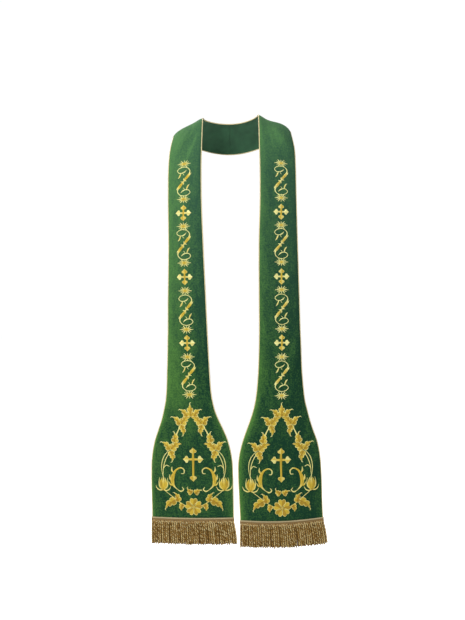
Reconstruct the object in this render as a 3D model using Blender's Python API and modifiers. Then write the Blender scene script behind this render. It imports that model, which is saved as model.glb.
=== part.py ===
"""A clerical stole, hanging as it is worn: two velvet panels sewn together at the nape, edged with thin
gold cord, each ended with a bullion fringe on a woven heading.

Metres, +Z up, the front towards -Y. The origin is the middle of the neck opening, level with the
places where the stole crosses the shoulders beside the neck. The panel on the -X side is the left one.
Run it with: blender --background --python part.py
"""

import math
import random
from collections import namedtuple

import bmesh
import bpy
import numpy as np

NAME = "clerical_stole"

# ---------------------------------------------------------------- driving sizes
WALL = 0.0024  # velvet, interlining and backing, sewn together
SEAM_GAP = 0.0003  # between two pieces that are sewn to each other
CORD_RADIUS = 0.0011  # the cord along the long edges

NECK_HALF_DEPTH = 0.070  # from the shoulder line back to the nape
NAPE_DROP = 0.012  # the nape lies this much lower than the shoulder line
NAPE_WIDTH = 0.094  # the band's width there
NAPE_DIP = 62.0  # degrees that the band slopes down over the upper back
NAPE_BOW = 0.003  # how far its middle bulges
NAPE_TURNS = (90.0, 67.5, 45.0, 22.5)  # its sections, in degrees round the neck from the shoulder

HEADING_HEIGHT = 0.012  # the woven strip that carries the fringe
HEADING_THICKNESS = 0.0018
HEADING_OVERHANG = 0.0015  # it reaches this far below the hem
HEADING_OVERLAP = 0.0024  # and this far past the panel's edges, over the cords
HEADING_COLUMNS = 10
STRAND_COUNT = 104  # in each fringe
STRAND_RADIUS = 0.0008
STRAND_LENGTH = 0.0605
STRAND_ROOT = 0.005  # its length inside the heading
STRAND_BEND = 0.018  # it leaves the heading square, and hangs freely from here down
LENGTH_SCATTER = 0.0014  # the strands' ends aren't level
LEAN_SCATTER = 0.00016

ACROSS_STEPS = 8  # quads across a panel
SPANS = ((0.0, 0.36, 0.0135), (0.36, 0.98, 0.029), (0.98, 1.36, 0.0135))  # from, to, step along it

# ---------------------------------------------------------------- the front, section by section
# drop: of the inner edge, below the shoulder line. The next four: from the middle plane to the panels'
# edges. forward: of the inner edge, in front of the shoulder line. turn: degrees that the outer edge
# is turned back. dip: degrees that the section slopes down. bow: how far its middle bulges out.
# hollow: how far it sinks in beside the neck and rises towards the shoulder's end.
Section = namedtuple(
    "Section", "drop left_inner left_outer right_inner right_outer forward turn dip bow hollow"
)
FRONT = [
    Section(0.0000, 0.0800, 0.1620, 0.0845, 0.1730, 0.000, 0.0, 28.5, 0.0010, 0.0042),
    Section(0.0190, 0.0800, 0.1650, 0.0842, 0.1764, 0.034, 2.0, 26.5, 0.0015, 0.0036),
    Section(0.0520, 0.0804, 0.1686, 0.0838, 0.1798, 0.062, 6.0, 20.0, 0.0025, 0.0022),
    Section(0.0920, 0.0815, 0.1718, 0.0834, 0.1828, 0.083, 11.0, 11.0, 0.0030, 0.0008),
    Section(0.1450, 0.0828, 0.1748, 0.0834, 0.1836, 0.102, 14.5, 4.5, 0.0030, 0.0),
    Section(0.2400, 0.0832, 0.1760, 0.0822, 0.1834, 0.124, 16.0, 1.0, 0.0025, 0.0),
    Section(0.3790, 0.0796, 0.1754, 0.0768, 0.1842, 0.142, 15.0, 0.0, 0.0020, 0.0),
    Section(0.5115, 0.0749, 0.1782, 0.0750, 0.1860, 0.149, 13.5, 0.0, 0.0025, 0.0),
    Section(0.6430, 0.0702, 0.1806, 0.0733, 0.1881, 0.150, 12.0, 0.0, 0.0035, 0.0),
    Section(0.7350, 0.0662, 0.1838, 0.0688, 0.1910, 0.150, 11.0, 0.0, 0.0050, 0.0),
    Section(0.7780, 0.0636, 0.1858, 0.0646, 0.1942, 0.150, 10.0, 0.0, 0.0060, 0.0),
    Section(0.8080, 0.0596, 0.1888, 0.0598, 0.1978, 0.150, 9.5, 0.0, 0.0070, 0.0),
    Section(0.8357, 0.0530, 0.1944, 0.0526, 0.2042, 0.150, 9.0, 0.0, 0.0080, 0.0),
    Section(0.8633, 0.0422, 0.2014, 0.0430, 0.2112, 0.150, 8.5, 0.0, 0.0090, 0.0),
    Section(0.8909, 0.0294, 0.2110, 0.0324, 0.2200, 0.150, 8.0, 0.0, 0.0100, 0.0),
    Section(0.9184, 0.0188, 0.2202, 0.0228, 0.2296, 0.150, 8.0, 0.0, 0.0105, 0.0),
    Section(0.9460, 0.0116, 0.2262, 0.0154, 0.2354, 0.150, 8.0, 0.0, 0.0110, 0.0),
    Section(0.9736, 0.0074, 0.2298, 0.0112, 0.2386, 0.150, 8.0, 0.0, 0.0115, 0.0),
    Section(1.0100, 0.0058, 0.2314, 0.0104, 0.2406, 0.149, 8.0, 0.0, 0.0120, 0.0),
    Section(1.0700, 0.0054, 0.2314, 0.0122, 0.2418, 0.148, 8.0, 0.0, 0.0125, 0.0),
    Section(1.1425, 0.0054, 0.2300, 0.0148, 0.2430, 0.147, 8.0, 0.0, 0.0125, 0.0),
]
SETTLED = 0.25  # below this drop, the shoulders' difference in height has faded
FLARE = 0.70  # from here down, the sides bulge differently

# ---------------------------------------------------------------- how each side hangs
# rise: at the shoulder. steeper: degrees added to the dip there. hollow, bulge: as a share of FRONT's
# hollow, and of its bow in the flared end. longer: at the hem. droop: of the hem's middle, below its
# corners. inner_splay, outer_splay: how far the fringe's end strands lean outwards.
Hang = namedtuple("Hang", "sign rise steeper hollow bulge longer droop inner_splay outer_splay")
HANGS = {
    "left": Hang(-1, -0.0040, 2.5, 0.4, 0.8, 0.0, 0.0006, -0.0072, 0.0008),
    "right": Hang(1, 0.0035, 0.0, 1.0, 1.0, 0.0080, 0.0046, -0.0010, 0.0095),
}

# Soft creases, raised or sunk. Each runs straight from one place to another: along is the distance
# from the nape and across the share of the panel's width, from its inner edge.
Crease = namedtuple("Crease", "side along_1 across_1 along_2 across_2 half_width height")
CREASES = [
    Crease("left", 0.075, 0.95, 0.150, 0.35, 0.014, 0.0020),
    Crease("left", 0.205, 0.30, 0.300, 0.90, 0.010, 0.0034),
    Crease("left", 0.225, 0.12, 0.345, 0.66, 0.012, -0.0022),
    Crease("left", 0.700, 1.02, 0.800, 0.55, 0.014, 0.0018),
    Crease("left", 0.800, 1.04, 0.910, 0.36, 0.013, 0.0028),
    Crease("left", 0.890, 1.03, 0.990, 0.44, 0.013, 0.0030),
    Crease("left", 1.090, -0.02, 1.240, 0.20, 0.020, 0.0036),
    Crease("left", 1.120, 0.98, 1.260, 0.74, 0.018, 0.0026),
    Crease("right", 0.070, 0.90, 0.160, 0.45, 0.016, 0.0018),
    Crease("right", 0.200, 0.35, 0.300, 0.78, 0.018, 0.0030),
    Crease("right", 0.560, 0.02, 0.680, 0.38, 0.015, 0.0018),
    Crease("right", 0.820, 1.02, 0.960, 0.62, 0.015, 0.0022),
    Crease("right", 1.060, 0.00, 1.200, 0.24, 0.020, 0.0034),
    Crease("right", 1.140, 0.96, 1.330, 0.80, 0.020, 0.0034),
]

# ---------------------------------------------------------------- colours, linear
VELVET_GREEN = (0.030, 0.118, 0.042, 1.0)
CORD_GOLD = (0.330, 0.240, 0.090, 1.0)
FRINGE_GOLD = (0.250, 0.160, 0.062, 1.0)


# ---------------------------------------------------------------- the cloth's surface
class Panel:
    """One side's cloth, as a surface. along is the distance from the nape seam, down the panel's
    middle, and across goes from 0 at the inner edge to 1 at the outer."""

    def __init__(self, side):
        self.hang = HANGS[side]
        self.creases = [crease for crease in CREASES if crease.side == side]
        rows = [(row, getattr(row, side + "_inner"), getattr(row, side + "_outer")) for row in FRONT]
        sections = [self.nape_section(turn, *rows[0]) for turn in NAPE_TURNS]
        sections += [self.front_section(*row) for row in rows]
        self.inner = np.array([section[0] for section in sections])
        self.outer = np.array([section[1] for section in sections])
        self.swell = np.array([section[2] for section in sections])
        steps = np.linalg.norm(np.diff((self.inner + self.outer) / 2, axis=0), axis=1)
        self.knots = np.concatenate([[0.0], np.cumsum(steps)])
        self.length = float(self.knots[-1])

    def nape_section(self, turn, shoulder, shoulder_inner, shoulder_outer):
        """(inner point, outer point, swell) of the band at this turn round the neck."""
        angle = math.radians(turn)
        back = math.sin(angle) ** 2
        down = NAPE_DROP * back - self.hang.rise * (1 - back)
        inner = np.array([shoulder_inner * math.cos(angle), NECK_HALF_DEPTH * math.sin(angle), -down])
        away = np.array([NECK_HALF_DEPTH * math.cos(angle), shoulder_inner * math.sin(angle), 0.0])
        away /= np.linalg.norm(away)
        shoulder_dip = shoulder.dip + self.hang.steeper
        dip = math.radians(shoulder_dip + (NAPE_DIP - shoulder_dip) * back)
        shoulder_width = (shoulder_outer - shoulder_inner) / math.cos(math.radians(shoulder_dip))
        width = shoulder_width + (NAPE_WIDTH - shoulder_width) * back
        slope = away * math.cos(dip) - np.array([0.0, 0.0, math.sin(dip)])
        bow = shoulder.bow + (NAPE_BOW - shoulder.bow) * back
        hollow = shoulder.hollow * self.hang.hollow * (1 - back)
        return inner, inner + width * slope, (bow, hollow, 0.0)

    def front_section(self, row, inner_x, outer_x):
        """(inner point, outer point, swell) of one row of FRONT, as this side hangs."""
        hem_share = row.drop / FRONT[-1].drop
        down = row.drop - self.hang.rise * max(0.0, 1 - row.drop / SETTLED) + self.hang.longer * hem_share
        inner = np.array([inner_x, -row.forward, -down])
        reach = outer_x - inner_x
        dip = row.dip + self.hang.steeper * row.dip / FRONT[0].dip
        back, lower = (reach * math.tan(math.radians(tilt)) for tilt in (row.turn, dip))
        flared = min(1.0, max(0.0, (row.drop - FLARE) / (FRONT[-1].drop - FLARE)))
        bow = row.bow * (1 + (self.hang.bulge - 1) * flared)
        droop = self.hang.droop * flared**2
        hollow = row.hollow * self.hang.hollow
        return inner, inner + np.array([reach, back, -lower]), (bow, hollow, droop)

    def between(self, values, along, mirrored):
        """The sections' values, joined by a smooth curve. One that is mirrored changes sign at the nape."""
        before_nape = values[1] * (np.array([-1.0, 1.0, 1.0]) if mirrored else 1.0)
        knots = np.concatenate([[-self.knots[1]], self.knots])
        values = np.concatenate([[before_nape], values])
        slopes = np.gradient(values, knots, axis=0)
        i = np.clip(np.searchsorted(knots, along, side="right") - 1, 0, len(knots) - 2)
        gap = (knots[i + 1] - knots[i])[:, None]
        t = (along - knots[i])[:, None] / gap
        return (
            (2 * t**3 - 3 * t**2 + 1) * values[i]
            + (t**3 - 2 * t**2 + t) * gap * slopes[i]
            + (3 * t**2 - 2 * t**3) * values[i + 1]
            + (t**3 - t**2) * gap * slopes[i + 1]
        )

    def smooth_points(self, along, across):
        """The cloth's middle layer without creases, as if the panel were on the +X side."""
        inner = self.between(self.inner, along, True)
        outer = self.between(self.outer, along, True)
        bow, hollow, droop = self.between(self.swell, along, False).T
        next_inner = self.between(self.inner, along + 1e-4, True)
        next_outer = self.between(self.outer, along + 1e-4, True)
        outward = np.cross(next_inner + next_outer - inner - outer, outer - inner)
        outward /= np.linalg.norm(outward, axis=1)[:, None]
        rise = bow * np.sin(np.pi * across) - hollow * np.sin(2 * np.pi * across)
        points = inner + (outer - inner) * across[:, None] + outward * rise[:, None]
        points[:, 2] -= droop * np.sin(np.pi * across)
        return points

    def width(self, along):
        span = self.between(self.outer - self.inner, np.atleast_1d(along), True)
        return np.linalg.norm(span, axis=1)

    def crease_heights(self, along, across):
        heights = np.zeros_like(along)
        aside = across * self.width(along)
        for crease in self.creases:
            start = np.array([crease.along_1, crease.across_1 * self.width(crease.along_1)[0]])
            run = np.array([crease.along_2, crease.across_2 * self.width(crease.along_2)[0]]) - start
            length = np.linalg.norm(run)
            here = np.stack([along, aside], axis=1) - start
            share = here @ run / length**2
            off_line = (here[:, 0] * run[1] - here[:, 1] * run[0]) / length
            fade = np.clip(1 - (2 * share - 1) ** 2, 0, 1) ** 1.5
            heights += crease.height * fade * np.exp(-((off_line / crease.half_width) ** 2))
        return heights

    def points(self, along, across, out=0.0):
        """Points that lie out in front of the cloth's middle layer, and the cloth's directions there:
        down the panel, across it and out of it."""
        along, across = np.broadcast_arrays(np.asarray(along, float), np.asarray(across, float))
        shape = along.shape + (3,)
        along, across = along.ravel(), across.ravel()
        step = 1e-3
        down = self.smooth_points(along + step, across) - self.smooth_points(along - step, across)
        aside = self.smooth_points(along, across + step) - self.smooth_points(along, across - step)
        outward = np.cross(down, aside)
        for direction in (down, aside, outward):
            direction /= np.linalg.norm(direction, axis=1)[:, None]
        heights = self.crease_heights(along, across) + out
        points = self.smooth_points(along, across) + outward * heights[:, None]
        side = np.array([self.hang.sign, 1.0, 1.0])
        return tuple((found * side).reshape(shape) for found in (points, down, aside, outward))

    def stations(self):
        """The distances from the nape at which the mesh has a row of points."""
        rows = []
        for start, end, step in SPANS:
            end = min(end, self.length)
            rows.append(np.linspace(start, end, math.ceil((end - start) / step), endpoint=False))
        rows = np.append(np.concatenate(rows), self.length)
        rows[0] = SEAM_GAP / 2
        return rows


# ---------------------------------------------------------------- small helpers
def make_material(name, colour, roughness, metallic):
    material = bpy.data.materials.new(name)
    material.use_nodes = True
    shader = material.node_tree.nodes["Principled BSDF"]
    shader.inputs["Base Color"].default_value = colour
    shader.inputs["Roughness"].default_value = roughness
    shader.inputs["Metallic"].default_value = metallic
    return material


def add_object(name, data, collection, material):
    made = bpy.data.objects.new(name, data)
    data.materials.append(material)
    collection.objects.link(made)
    return made


def add_shell(name, points, thickness, collection, material):
    """A grid bent onto points, rows by columns, and thickened to both sides."""
    rows, columns = points.shape[:2]
    grid = bmesh.new()
    bmesh.ops.create_grid(grid, x_segments=rows - 1, y_segments=columns - 1, size=0.5)
    for vertex in grid.verts:
        row = round((vertex.co.x + 0.5) * (rows - 1))
        column = round((vertex.co.y + 0.5) * (columns - 1))
        vertex.co = points[row, column]
    mesh = bpy.data.meshes.new(name)
    grid.to_mesh(mesh)
    grid.free()
    mesh.shade_smooth()
    shell = add_object(name, mesh, collection, material)
    solidify = shell.modifiers.new("thickness", "SOLIDIFY")
    solidify.thickness = thickness
    solidify.offset = 0.0
    solidify.use_even_offset = True
    return shell


def add_tubes(name, paths, radius, resolution, collection, material):
    """A round tube along each path, with closed ends, as one mesh object."""
    curve = bpy.data.curves.new(name + "_curve", "CURVE")
    curve.dimensions = "3D"
    curve.bevel_depth = radius
    curve.bevel_resolution = resolution
    curve.use_fill_caps = True
    for path in paths:
        spline = curve.splines.new("POLY")
        spline.points.add(len(path) - 1)
        for point, place in zip(spline.points, path):
            point.co = (*place, 1.0)
    drawn = bpy.data.objects.new(name + "_curve", curve)
    collection.objects.link(drawn)
    evaluated = drawn.evaluated_get(bpy.context.evaluated_depsgraph_get())
    mesh = bpy.data.meshes.new_from_object(evaluated)
    mesh.name = name
    welded = bmesh.new()
    welded.from_mesh(mesh)
    bmesh.ops.remove_doubles(welded, verts=welded.verts, dist=0.00001)
    bmesh.ops.recalc_face_normals(welded, faces=welded.faces)
    welded.to_mesh(mesh)
    welded.free()
    mesh.materials.clear()
    tubes = add_object(name, mesh, collection, material)
    tubes.matrix_world = drawn.matrix_world
    bpy.data.objects.remove(drawn)
    return tubes


# ---------------------------------------------------------------- the pieces
def build_panel(side, panel, collection, material):
    across = np.linspace(0.0, 1.0, ACROSS_STEPS + 1)
    points = panel.points(panel.stations()[:, None], across[None, :])[0]
    return add_shell("panel_" + side, points, WALL, collection, material)


def build_edge_cord(name, panels, across, collection, material):
    """One cord, from one hem round the neck to the other, just outside the panels' edges."""
    halves = []
    for side in ("left", "right"):
        panel = panels[side]
        points, _, aside, _ = panel.points(panel.stations(), across)
        outwards = aside if across == 1 else -aside
        halves.append(points + outwards * (CORD_RADIUS + SEAM_GAP))
    left, right = halves
    path = np.concatenate([left[:0:-1], (left[:1] + right[:1]) / 2, right[1:]])
    return add_tubes(name, [path], CORD_RADIUS, 1, collection, material)


def build_fringe(side, panel, collection, cutters, material):
    """The heading lies on the panel's front, over its hem, and the strands hang from inside it."""
    middle = WALL / 2 + SEAM_GAP + HEADING_THICKNESS / 2
    bottom = panel.length + HEADING_OVERHANG
    edge = HEADING_OVERLAP / panel.width(panel.length)[0]
    across = np.linspace(-edge, 1 + edge, HEADING_COLUMNS + 1)
    along = np.array([bottom - HEADING_HEIGHT, bottom])
    points = panel.points(along[:, None], across[None, :], middle)[0]
    heading = add_shell("fringe_" + side, points, HEADING_THICKNESS, collection, material)

    chance = random.Random(panel.hang.sign)
    inset = 1.2 * STRAND_RADIUS / panel.width(panel.length)[0]
    shares = np.linspace(-edge + inset, 1 + edge - inset, STRAND_COUNT)
    roots, downs, _, _ = panel.points(bottom - STRAND_ROOT, shares, middle)
    ends = panel.points(bottom, shares, middle)[0]
    strands = []
    for share, root, down, end in zip(shares, roots, downs, ends):
        splay = panel.hang.inner_splay + (panel.hang.outer_splay - panel.hang.inner_splay) * share
        lean = panel.hang.sign * splay + chance.uniform(-1, 1) * LEAN_SCATTER
        length = STRAND_LENGTH + chance.uniform(-1, 1) * LENGTH_SCATTER
        bend = end + np.array([lean * STRAND_BEND / length * 0.6, 0.0, -STRAND_BEND])
        tip = end + np.array([lean, 0.0, -length])
        strands.append([root, bend, tip])
    loose = add_tubes("strands_" + side, strands, STRAND_RADIUS, 0, cutters, material)
    loose.display_type = "WIRE"
    loose.hide_render = True
    join = heading.modifiers.new("strands", "BOOLEAN")
    join.operation = "UNION"
    join.solver = "EXACT"
    join.object = loose
    return heading


def main():
    for old in list(bpy.data.objects):
        bpy.data.objects.remove(old)
    collection = bpy.data.collections.new(NAME)
    cutters = bpy.data.collections.new("cutters")
    for made in (collection, cutters):
        bpy.context.scene.collection.children.link(made)
    velvet = make_material("green_velvet", VELVET_GREEN, 0.85, 0.0)
    cord = make_material("gold_cord", CORD_GOLD, 0.55, 0.2)
    bullion = make_material("gold_fringe", FRINGE_GOLD, 0.55, 0.2)

    panels = {side: Panel(side) for side in HANGS}
    for side, panel in panels.items():
        build_panel(side, panel, collection, velvet)
        build_fringe(side, panel, collection, cutters, bullion)
    build_edge_cord("edge_cord_inner", panels, 0.0, collection, cord)
    build_edge_cord("edge_cord_outer", panels, 1.0, collection, cord)


main()
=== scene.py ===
import math
import random
from collections import namedtuple

import bmesh
import bpy
import numpy as np
from mathutils import Matrix, Vector


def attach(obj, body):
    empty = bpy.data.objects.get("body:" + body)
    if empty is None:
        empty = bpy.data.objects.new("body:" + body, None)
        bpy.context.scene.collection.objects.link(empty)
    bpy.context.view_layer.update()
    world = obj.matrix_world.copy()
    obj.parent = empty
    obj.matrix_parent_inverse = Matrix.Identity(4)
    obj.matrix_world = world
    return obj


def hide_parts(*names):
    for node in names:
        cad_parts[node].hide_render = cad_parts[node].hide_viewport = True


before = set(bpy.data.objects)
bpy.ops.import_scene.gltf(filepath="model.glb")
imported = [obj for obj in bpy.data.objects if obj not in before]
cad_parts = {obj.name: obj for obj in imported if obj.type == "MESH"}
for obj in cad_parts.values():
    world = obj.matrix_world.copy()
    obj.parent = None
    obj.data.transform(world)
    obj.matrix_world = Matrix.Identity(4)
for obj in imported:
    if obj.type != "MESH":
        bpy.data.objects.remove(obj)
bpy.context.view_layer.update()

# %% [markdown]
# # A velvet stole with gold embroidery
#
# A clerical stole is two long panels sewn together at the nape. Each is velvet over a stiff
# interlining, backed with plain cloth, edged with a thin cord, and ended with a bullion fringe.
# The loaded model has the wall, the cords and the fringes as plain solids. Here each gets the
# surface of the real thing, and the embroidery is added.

# %% [markdown]
# ## Sizes
#
# The same numbers that the solids were made from, in metres, because everything in the scene lies
# on the cloth that they describe. A row of the table is one section of the front: how far the inner
# edge lies below the shoulder line, where both panels' edges are, how far forward the cloth hangs,
# and how it turns, dips and bulges. The cloth could be read back from the loaded solids instead, but
# the numbers give any point of it, as finely as wanted.

# %% Sizes
WALL = 0.0024
CORD_RADIUS = 0.0011
NECK_HALF_DEPTH = 0.070
NAPE_DROP = 0.012
NAPE_WIDTH = 0.094
NAPE_DIP = 62.0
NAPE_BOW = 0.003
NAPE_TURNS = (90.0, 67.5, 45.0, 22.5)
HEADING_HEIGHT = 0.012
HEADING_THICKNESS = 0.0018
HEADING_OVERHANG = 0.0015
HEADING_OVERLAP = 0.0024
STRAND_LENGTH = 0.0605
SEAM_GAP = 0.0003

Section = namedtuple(
    "Section", "drop left_inner left_outer right_inner right_outer forward turn dip bow hollow"
)
FRONT = [
    Section(0.0000, 0.0800, 0.1620, 0.0845, 0.1730, 0.000, 0.0, 28.5, 0.0010, 0.0042),
    Section(0.0190, 0.0800, 0.1650, 0.0842, 0.1764, 0.034, 2.0, 26.5, 0.0015, 0.0036),
    Section(0.0520, 0.0804, 0.1686, 0.0838, 0.1798, 0.062, 6.0, 20.0, 0.0025, 0.0022),
    Section(0.0920, 0.0815, 0.1718, 0.0834, 0.1828, 0.083, 11.0, 11.0, 0.0030, 0.0008),
    Section(0.1450, 0.0828, 0.1748, 0.0834, 0.1836, 0.102, 14.5, 4.5, 0.0030, 0.0),
    Section(0.2400, 0.0832, 0.1760, 0.0822, 0.1834, 0.124, 16.0, 1.0, 0.0025, 0.0),
    Section(0.3790, 0.0796, 0.1754, 0.0768, 0.1842, 0.142, 15.0, 0.0, 0.0020, 0.0),
    Section(0.5115, 0.0749, 0.1782, 0.0750, 0.1860, 0.149, 13.5, 0.0, 0.0025, 0.0),
    Section(0.6430, 0.0702, 0.1806, 0.0733, 0.1881, 0.150, 12.0, 0.0, 0.0035, 0.0),
    Section(0.7350, 0.0662, 0.1838, 0.0688, 0.1910, 0.150, 11.0, 0.0, 0.0050, 0.0),
    Section(0.7780, 0.0636, 0.1858, 0.0646, 0.1942, 0.150, 10.0, 0.0, 0.0060, 0.0),
    Section(0.8080, 0.0596, 0.1888, 0.0598, 0.1978, 0.150, 9.5, 0.0, 0.0070, 0.0),
    Section(0.8357, 0.0530, 0.1944, 0.0526, 0.2042, 0.150, 9.0, 0.0, 0.0080, 0.0),
    Section(0.8633, 0.0422, 0.2014, 0.0430, 0.2112, 0.150, 8.5, 0.0, 0.0090, 0.0),
    Section(0.8909, 0.0294, 0.2110, 0.0324, 0.2200, 0.150, 8.0, 0.0, 0.0100, 0.0),
    Section(0.9184, 0.0188, 0.2202, 0.0228, 0.2296, 0.150, 8.0, 0.0, 0.0105, 0.0),
    Section(0.9460, 0.0116, 0.2262, 0.0154, 0.2354, 0.150, 8.0, 0.0, 0.0110, 0.0),
    Section(0.9736, 0.0074, 0.2298, 0.0112, 0.2386, 0.150, 8.0, 0.0, 0.0115, 0.0),
    Section(1.0100, 0.0058, 0.2314, 0.0104, 0.2406, 0.149, 8.0, 0.0, 0.0120, 0.0),
    Section(1.0700, 0.0054, 0.2314, 0.0122, 0.2418, 0.148, 8.0, 0.0, 0.0125, 0.0),
    Section(1.1425, 0.0054, 0.2300, 0.0148, 0.2430, 0.147, 8.0, 0.0, 0.0125, 0.0),
]
SETTLED = 0.25  # below this drop, the shoulders' difference in height has faded
FLARE = 0.70  # from this drop down, the two sides bulge differently

Hang = namedtuple("Hang", "sign rise steeper hollow bulge longer droop inner_splay outer_splay")
HANGS = {
    "left": Hang(-1, -0.0040, 2.5, 0.4, 0.8, 0.0, 0.0006, -0.0072, 0.0008),
    "right": Hang(1, 0.0035, 0.0, 1.0, 1.0, 0.0080, 0.0046, -0.0010, 0.0095),
}
print(len(FRONT), "sections, down to", FRONT[-1].drop, "m below the shoulder line")

# %% [markdown]
# ## Creases
#
# Worn cloth isn't a smooth ribbon. A few soft folds run down from the neck over the shoulder, and
# slanting ones cross the outer half where the panel has been folded away. The first table has the
# large ones, which the solids have too, and the second adds shallow ones. A crease runs straight
# from one place to another: along is the distance from the nape, and across the share of the width.
# Creases could be sculpted by hand or come from a cloth simulation. A table keeps each one where the
# cloth was folded, and a number changes it.

# %% Creases
Crease = namedtuple("Crease", "side along_1 across_1 along_2 across_2 half_width height")
LARGE_CREASES = [
    Crease("left", 0.075, 0.95, 0.150, 0.35, 0.014, 0.0020),
    Crease("left", 0.205, 0.30, 0.300, 0.90, 0.010, 0.0034),
    Crease("left", 0.225, 0.12, 0.345, 0.66, 0.012, -0.0022),
    Crease("left", 0.700, 1.02, 0.800, 0.55, 0.014, 0.0018),
    Crease("left", 0.800, 1.04, 0.910, 0.36, 0.013, 0.0028),
    Crease("left", 0.890, 1.03, 0.990, 0.44, 0.013, 0.0030),
    Crease("left", 1.090, -0.02, 1.240, 0.20, 0.020, 0.0036),
    Crease("left", 1.120, 0.98, 1.260, 0.74, 0.018, 0.0026),
    Crease("right", 0.070, 0.90, 0.160, 0.45, 0.016, 0.0018),
    Crease("right", 0.200, 0.35, 0.300, 0.78, 0.018, 0.0030),
    Crease("right", 0.560, 0.02, 0.680, 0.38, 0.015, 0.0018),
    Crease("right", 0.820, 1.02, 0.960, 0.62, 0.015, 0.0022),
    Crease("right", 1.060, 0.00, 1.200, 0.24, 0.020, 0.0034),
    Crease("right", 1.140, 0.96, 1.330, 0.80, 0.020, 0.0034),
]
SMALL_CREASES = [
    Crease("left", 0.215, 0.18, 0.268, 0.50, 0.0035, 0.0010),
    Crease("left", 0.228, 0.36, 0.290, 0.74, 0.0040, 0.0012),
    Crease("left", 0.240, 0.10, 0.325, 0.42, 0.0040, 0.0009),
    Crease("left", 0.470, 0.96, 0.560, 0.62, 0.0070, 0.0009),
    Crease("left", 0.585, 1.00, 0.665, 0.66, 0.0060, 0.0010),
    Crease("left", 0.735, 0.98, 0.800, 0.58, 0.0050, 0.0011),
    Crease("left", 0.835, 0.98, 0.890, 0.55, 0.0045, 0.0013),
    Crease("left", 0.868, 1.00, 0.930, 0.60, 0.0045, 0.0010),
    Crease("left", 0.915, 0.98, 0.965, 0.66, 0.0050, 0.0011),
    Crease("left", 1.020, 0.10, 1.090, 0.30, 0.0080, 0.0008),
    Crease("right", 0.215, 0.20, 0.300, 0.46, 0.0060, 0.0009),
    Crease("right", 0.225, 0.55, 0.310, 0.86, 0.0070, 0.0010),
    Crease("right", 0.390, 0.04, 0.470, 0.34, 0.0070, 0.0008),
    Crease("right", 0.610, 0.98, 0.700, 0.70, 0.0070, 0.0009),
    Crease("right", 0.770, 0.02, 0.860, 0.30, 0.0070, 0.0009),
    Crease("right", 0.930, 0.96, 1.010, 0.68, 0.0070, 0.0010),
    Crease("right", 1.200, 0.06, 1.300, 0.20, 0.0100, 0.0010),
]
EDGE_ROLL = 0.0026
EDGE_ROLL_WIDTH = 0.016
ROLL_FADE = 0.04
print(len(LARGE_CREASES), "large and", len(SMALL_CREASES), "small creases")

# %% [markdown]
# ## Painted sheen of the pile
#
# Velvet looks light where its pile leans away from the eye and dark where the eye looks into it.
# Here that sheen is painted as a tone. On each panel it is lighter towards the left edge, the side
# the key light comes from, and at the wide ends along both edges, most of all on the narrow lip
# where the cloth bends over the edge. The table adds painted highlights and shade along the creases
# over the shoulders, and lighter and darker patches. A painted picture could hold all this, but a
# tone for each point of the mesh needs no image and follows the cloth's own measures.

# %% Painted sheen of the pile
Mark = namedtuple("Mark", "side along_1 across_1 along_2 across_2 half_width lighter")
# painted highlights and shade along the shoulder creases, and lighter and darker patches
MARKS = [
    Mark("left", 0.205, 0.60, 0.262, 0.98, 0.006, 0.28),
    Mark("left", 0.215, 0.24, 0.305, 0.84, 0.004, 0.34),
    Mark("left", 0.232, 0.08, 0.335, 0.52, 0.005, 0.26),
    Mark("left", 0.250, 0.50, 0.350, 0.92, 0.008, -0.20),
    Mark("left", 0.400, 0.12, 0.520, 0.20, 0.012, -0.12),
    Mark("left", 0.640, 0.14, 0.780, 0.22, 0.014, -0.12),
    Mark("left", 0.700, 0.88, 0.800, 0.80, 0.010, -0.14),
    Mark("left", 0.900, 0.92, 1.060, 0.30, 0.050, 0.17),
    Mark("left", 1.030, 0.46, 1.090, 0.50, 0.014, 0.24),
    Mark("left", 1.130, 0.10, 1.310, 0.02, 0.022, 0.16),
    Mark("left", 1.230, 0.90, 1.320, 0.60, 0.035, -0.14),
    Mark("right", 0.205, 0.30, 0.300, 0.66, 0.014, 0.26),
    Mark("right", 0.225, 0.62, 0.320, 0.94, 0.009, 0.20),
    Mark("right", 0.300, 0.05, 0.450, 0.20, 0.024, -0.18),
    Mark("right", 0.520, 0.80, 0.640, 0.86, 0.010, 0.08),
    Mark("right", 0.760, 0.10, 0.900, 0.18, 0.014, 0.04),
    Mark("right", 0.980, 0.02, 1.130, 0.05, 0.020, 0.08),
    Mark("right", 1.200, 0.98, 1.330, 0.94, 0.018, 0.14),
    Mark("right", 1.240, 0.30, 1.330, 0.60, 0.040, -0.10),
]
# painted sheen of each panel: the column's tone and lit edge, the wide end's tone, edges and lips
Pile = namedtuple("Pile", "column lit_edge falloff end end_inner end_outer lip_inner lip_outer")
PILES = {
    "left": Pile(0.05, 0.56, 1.3, 0.17, 0.34, 0.10, 0.30, 0.40),
    "right": Pile(0.29, 0.28, 3.0, 0.22, 0.24, 0.30, 0.40, 0.0),
}
RIM_WIDTH = 0.016
LIP_WIDTH = 0.006
END_FROM = 0.93
END_FADE = 0.12
print(len(MARKS), "marks in the pile")

# %% [markdown]
# ## Smooth curves
#
# Cloth bends gently from one section to the next, so values that are known at a few places are
# joined by smooth curves. Straight lines would leave a kink at each section, and Blender's Bezier
# curves would need handles set by eye. These curves pass through every value and need none.


# %% Smooth curves
def smooth_curve(knots, values, places):
    """values, given at the knots, joined by a smooth curve and read at the places."""
    slopes = np.gradient(values, knots, axis=0)
    i = np.clip(np.searchsorted(knots, places, side="right") - 1, 0, len(knots) - 2)
    gap = (knots[i + 1] - knots[i])[:, None]
    t = (places - knots[i])[:, None] / gap
    return (
        (2 * t**3 - 3 * t**2 + 1) * values[i]
        + (t**3 - 2 * t**2 + t) * gap * slopes[i]
        + (3 * t**2 - 2 * t**3) * values[i + 1]
        + (t**3 - t**2) * gap * slopes[i + 1]
    )


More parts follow.
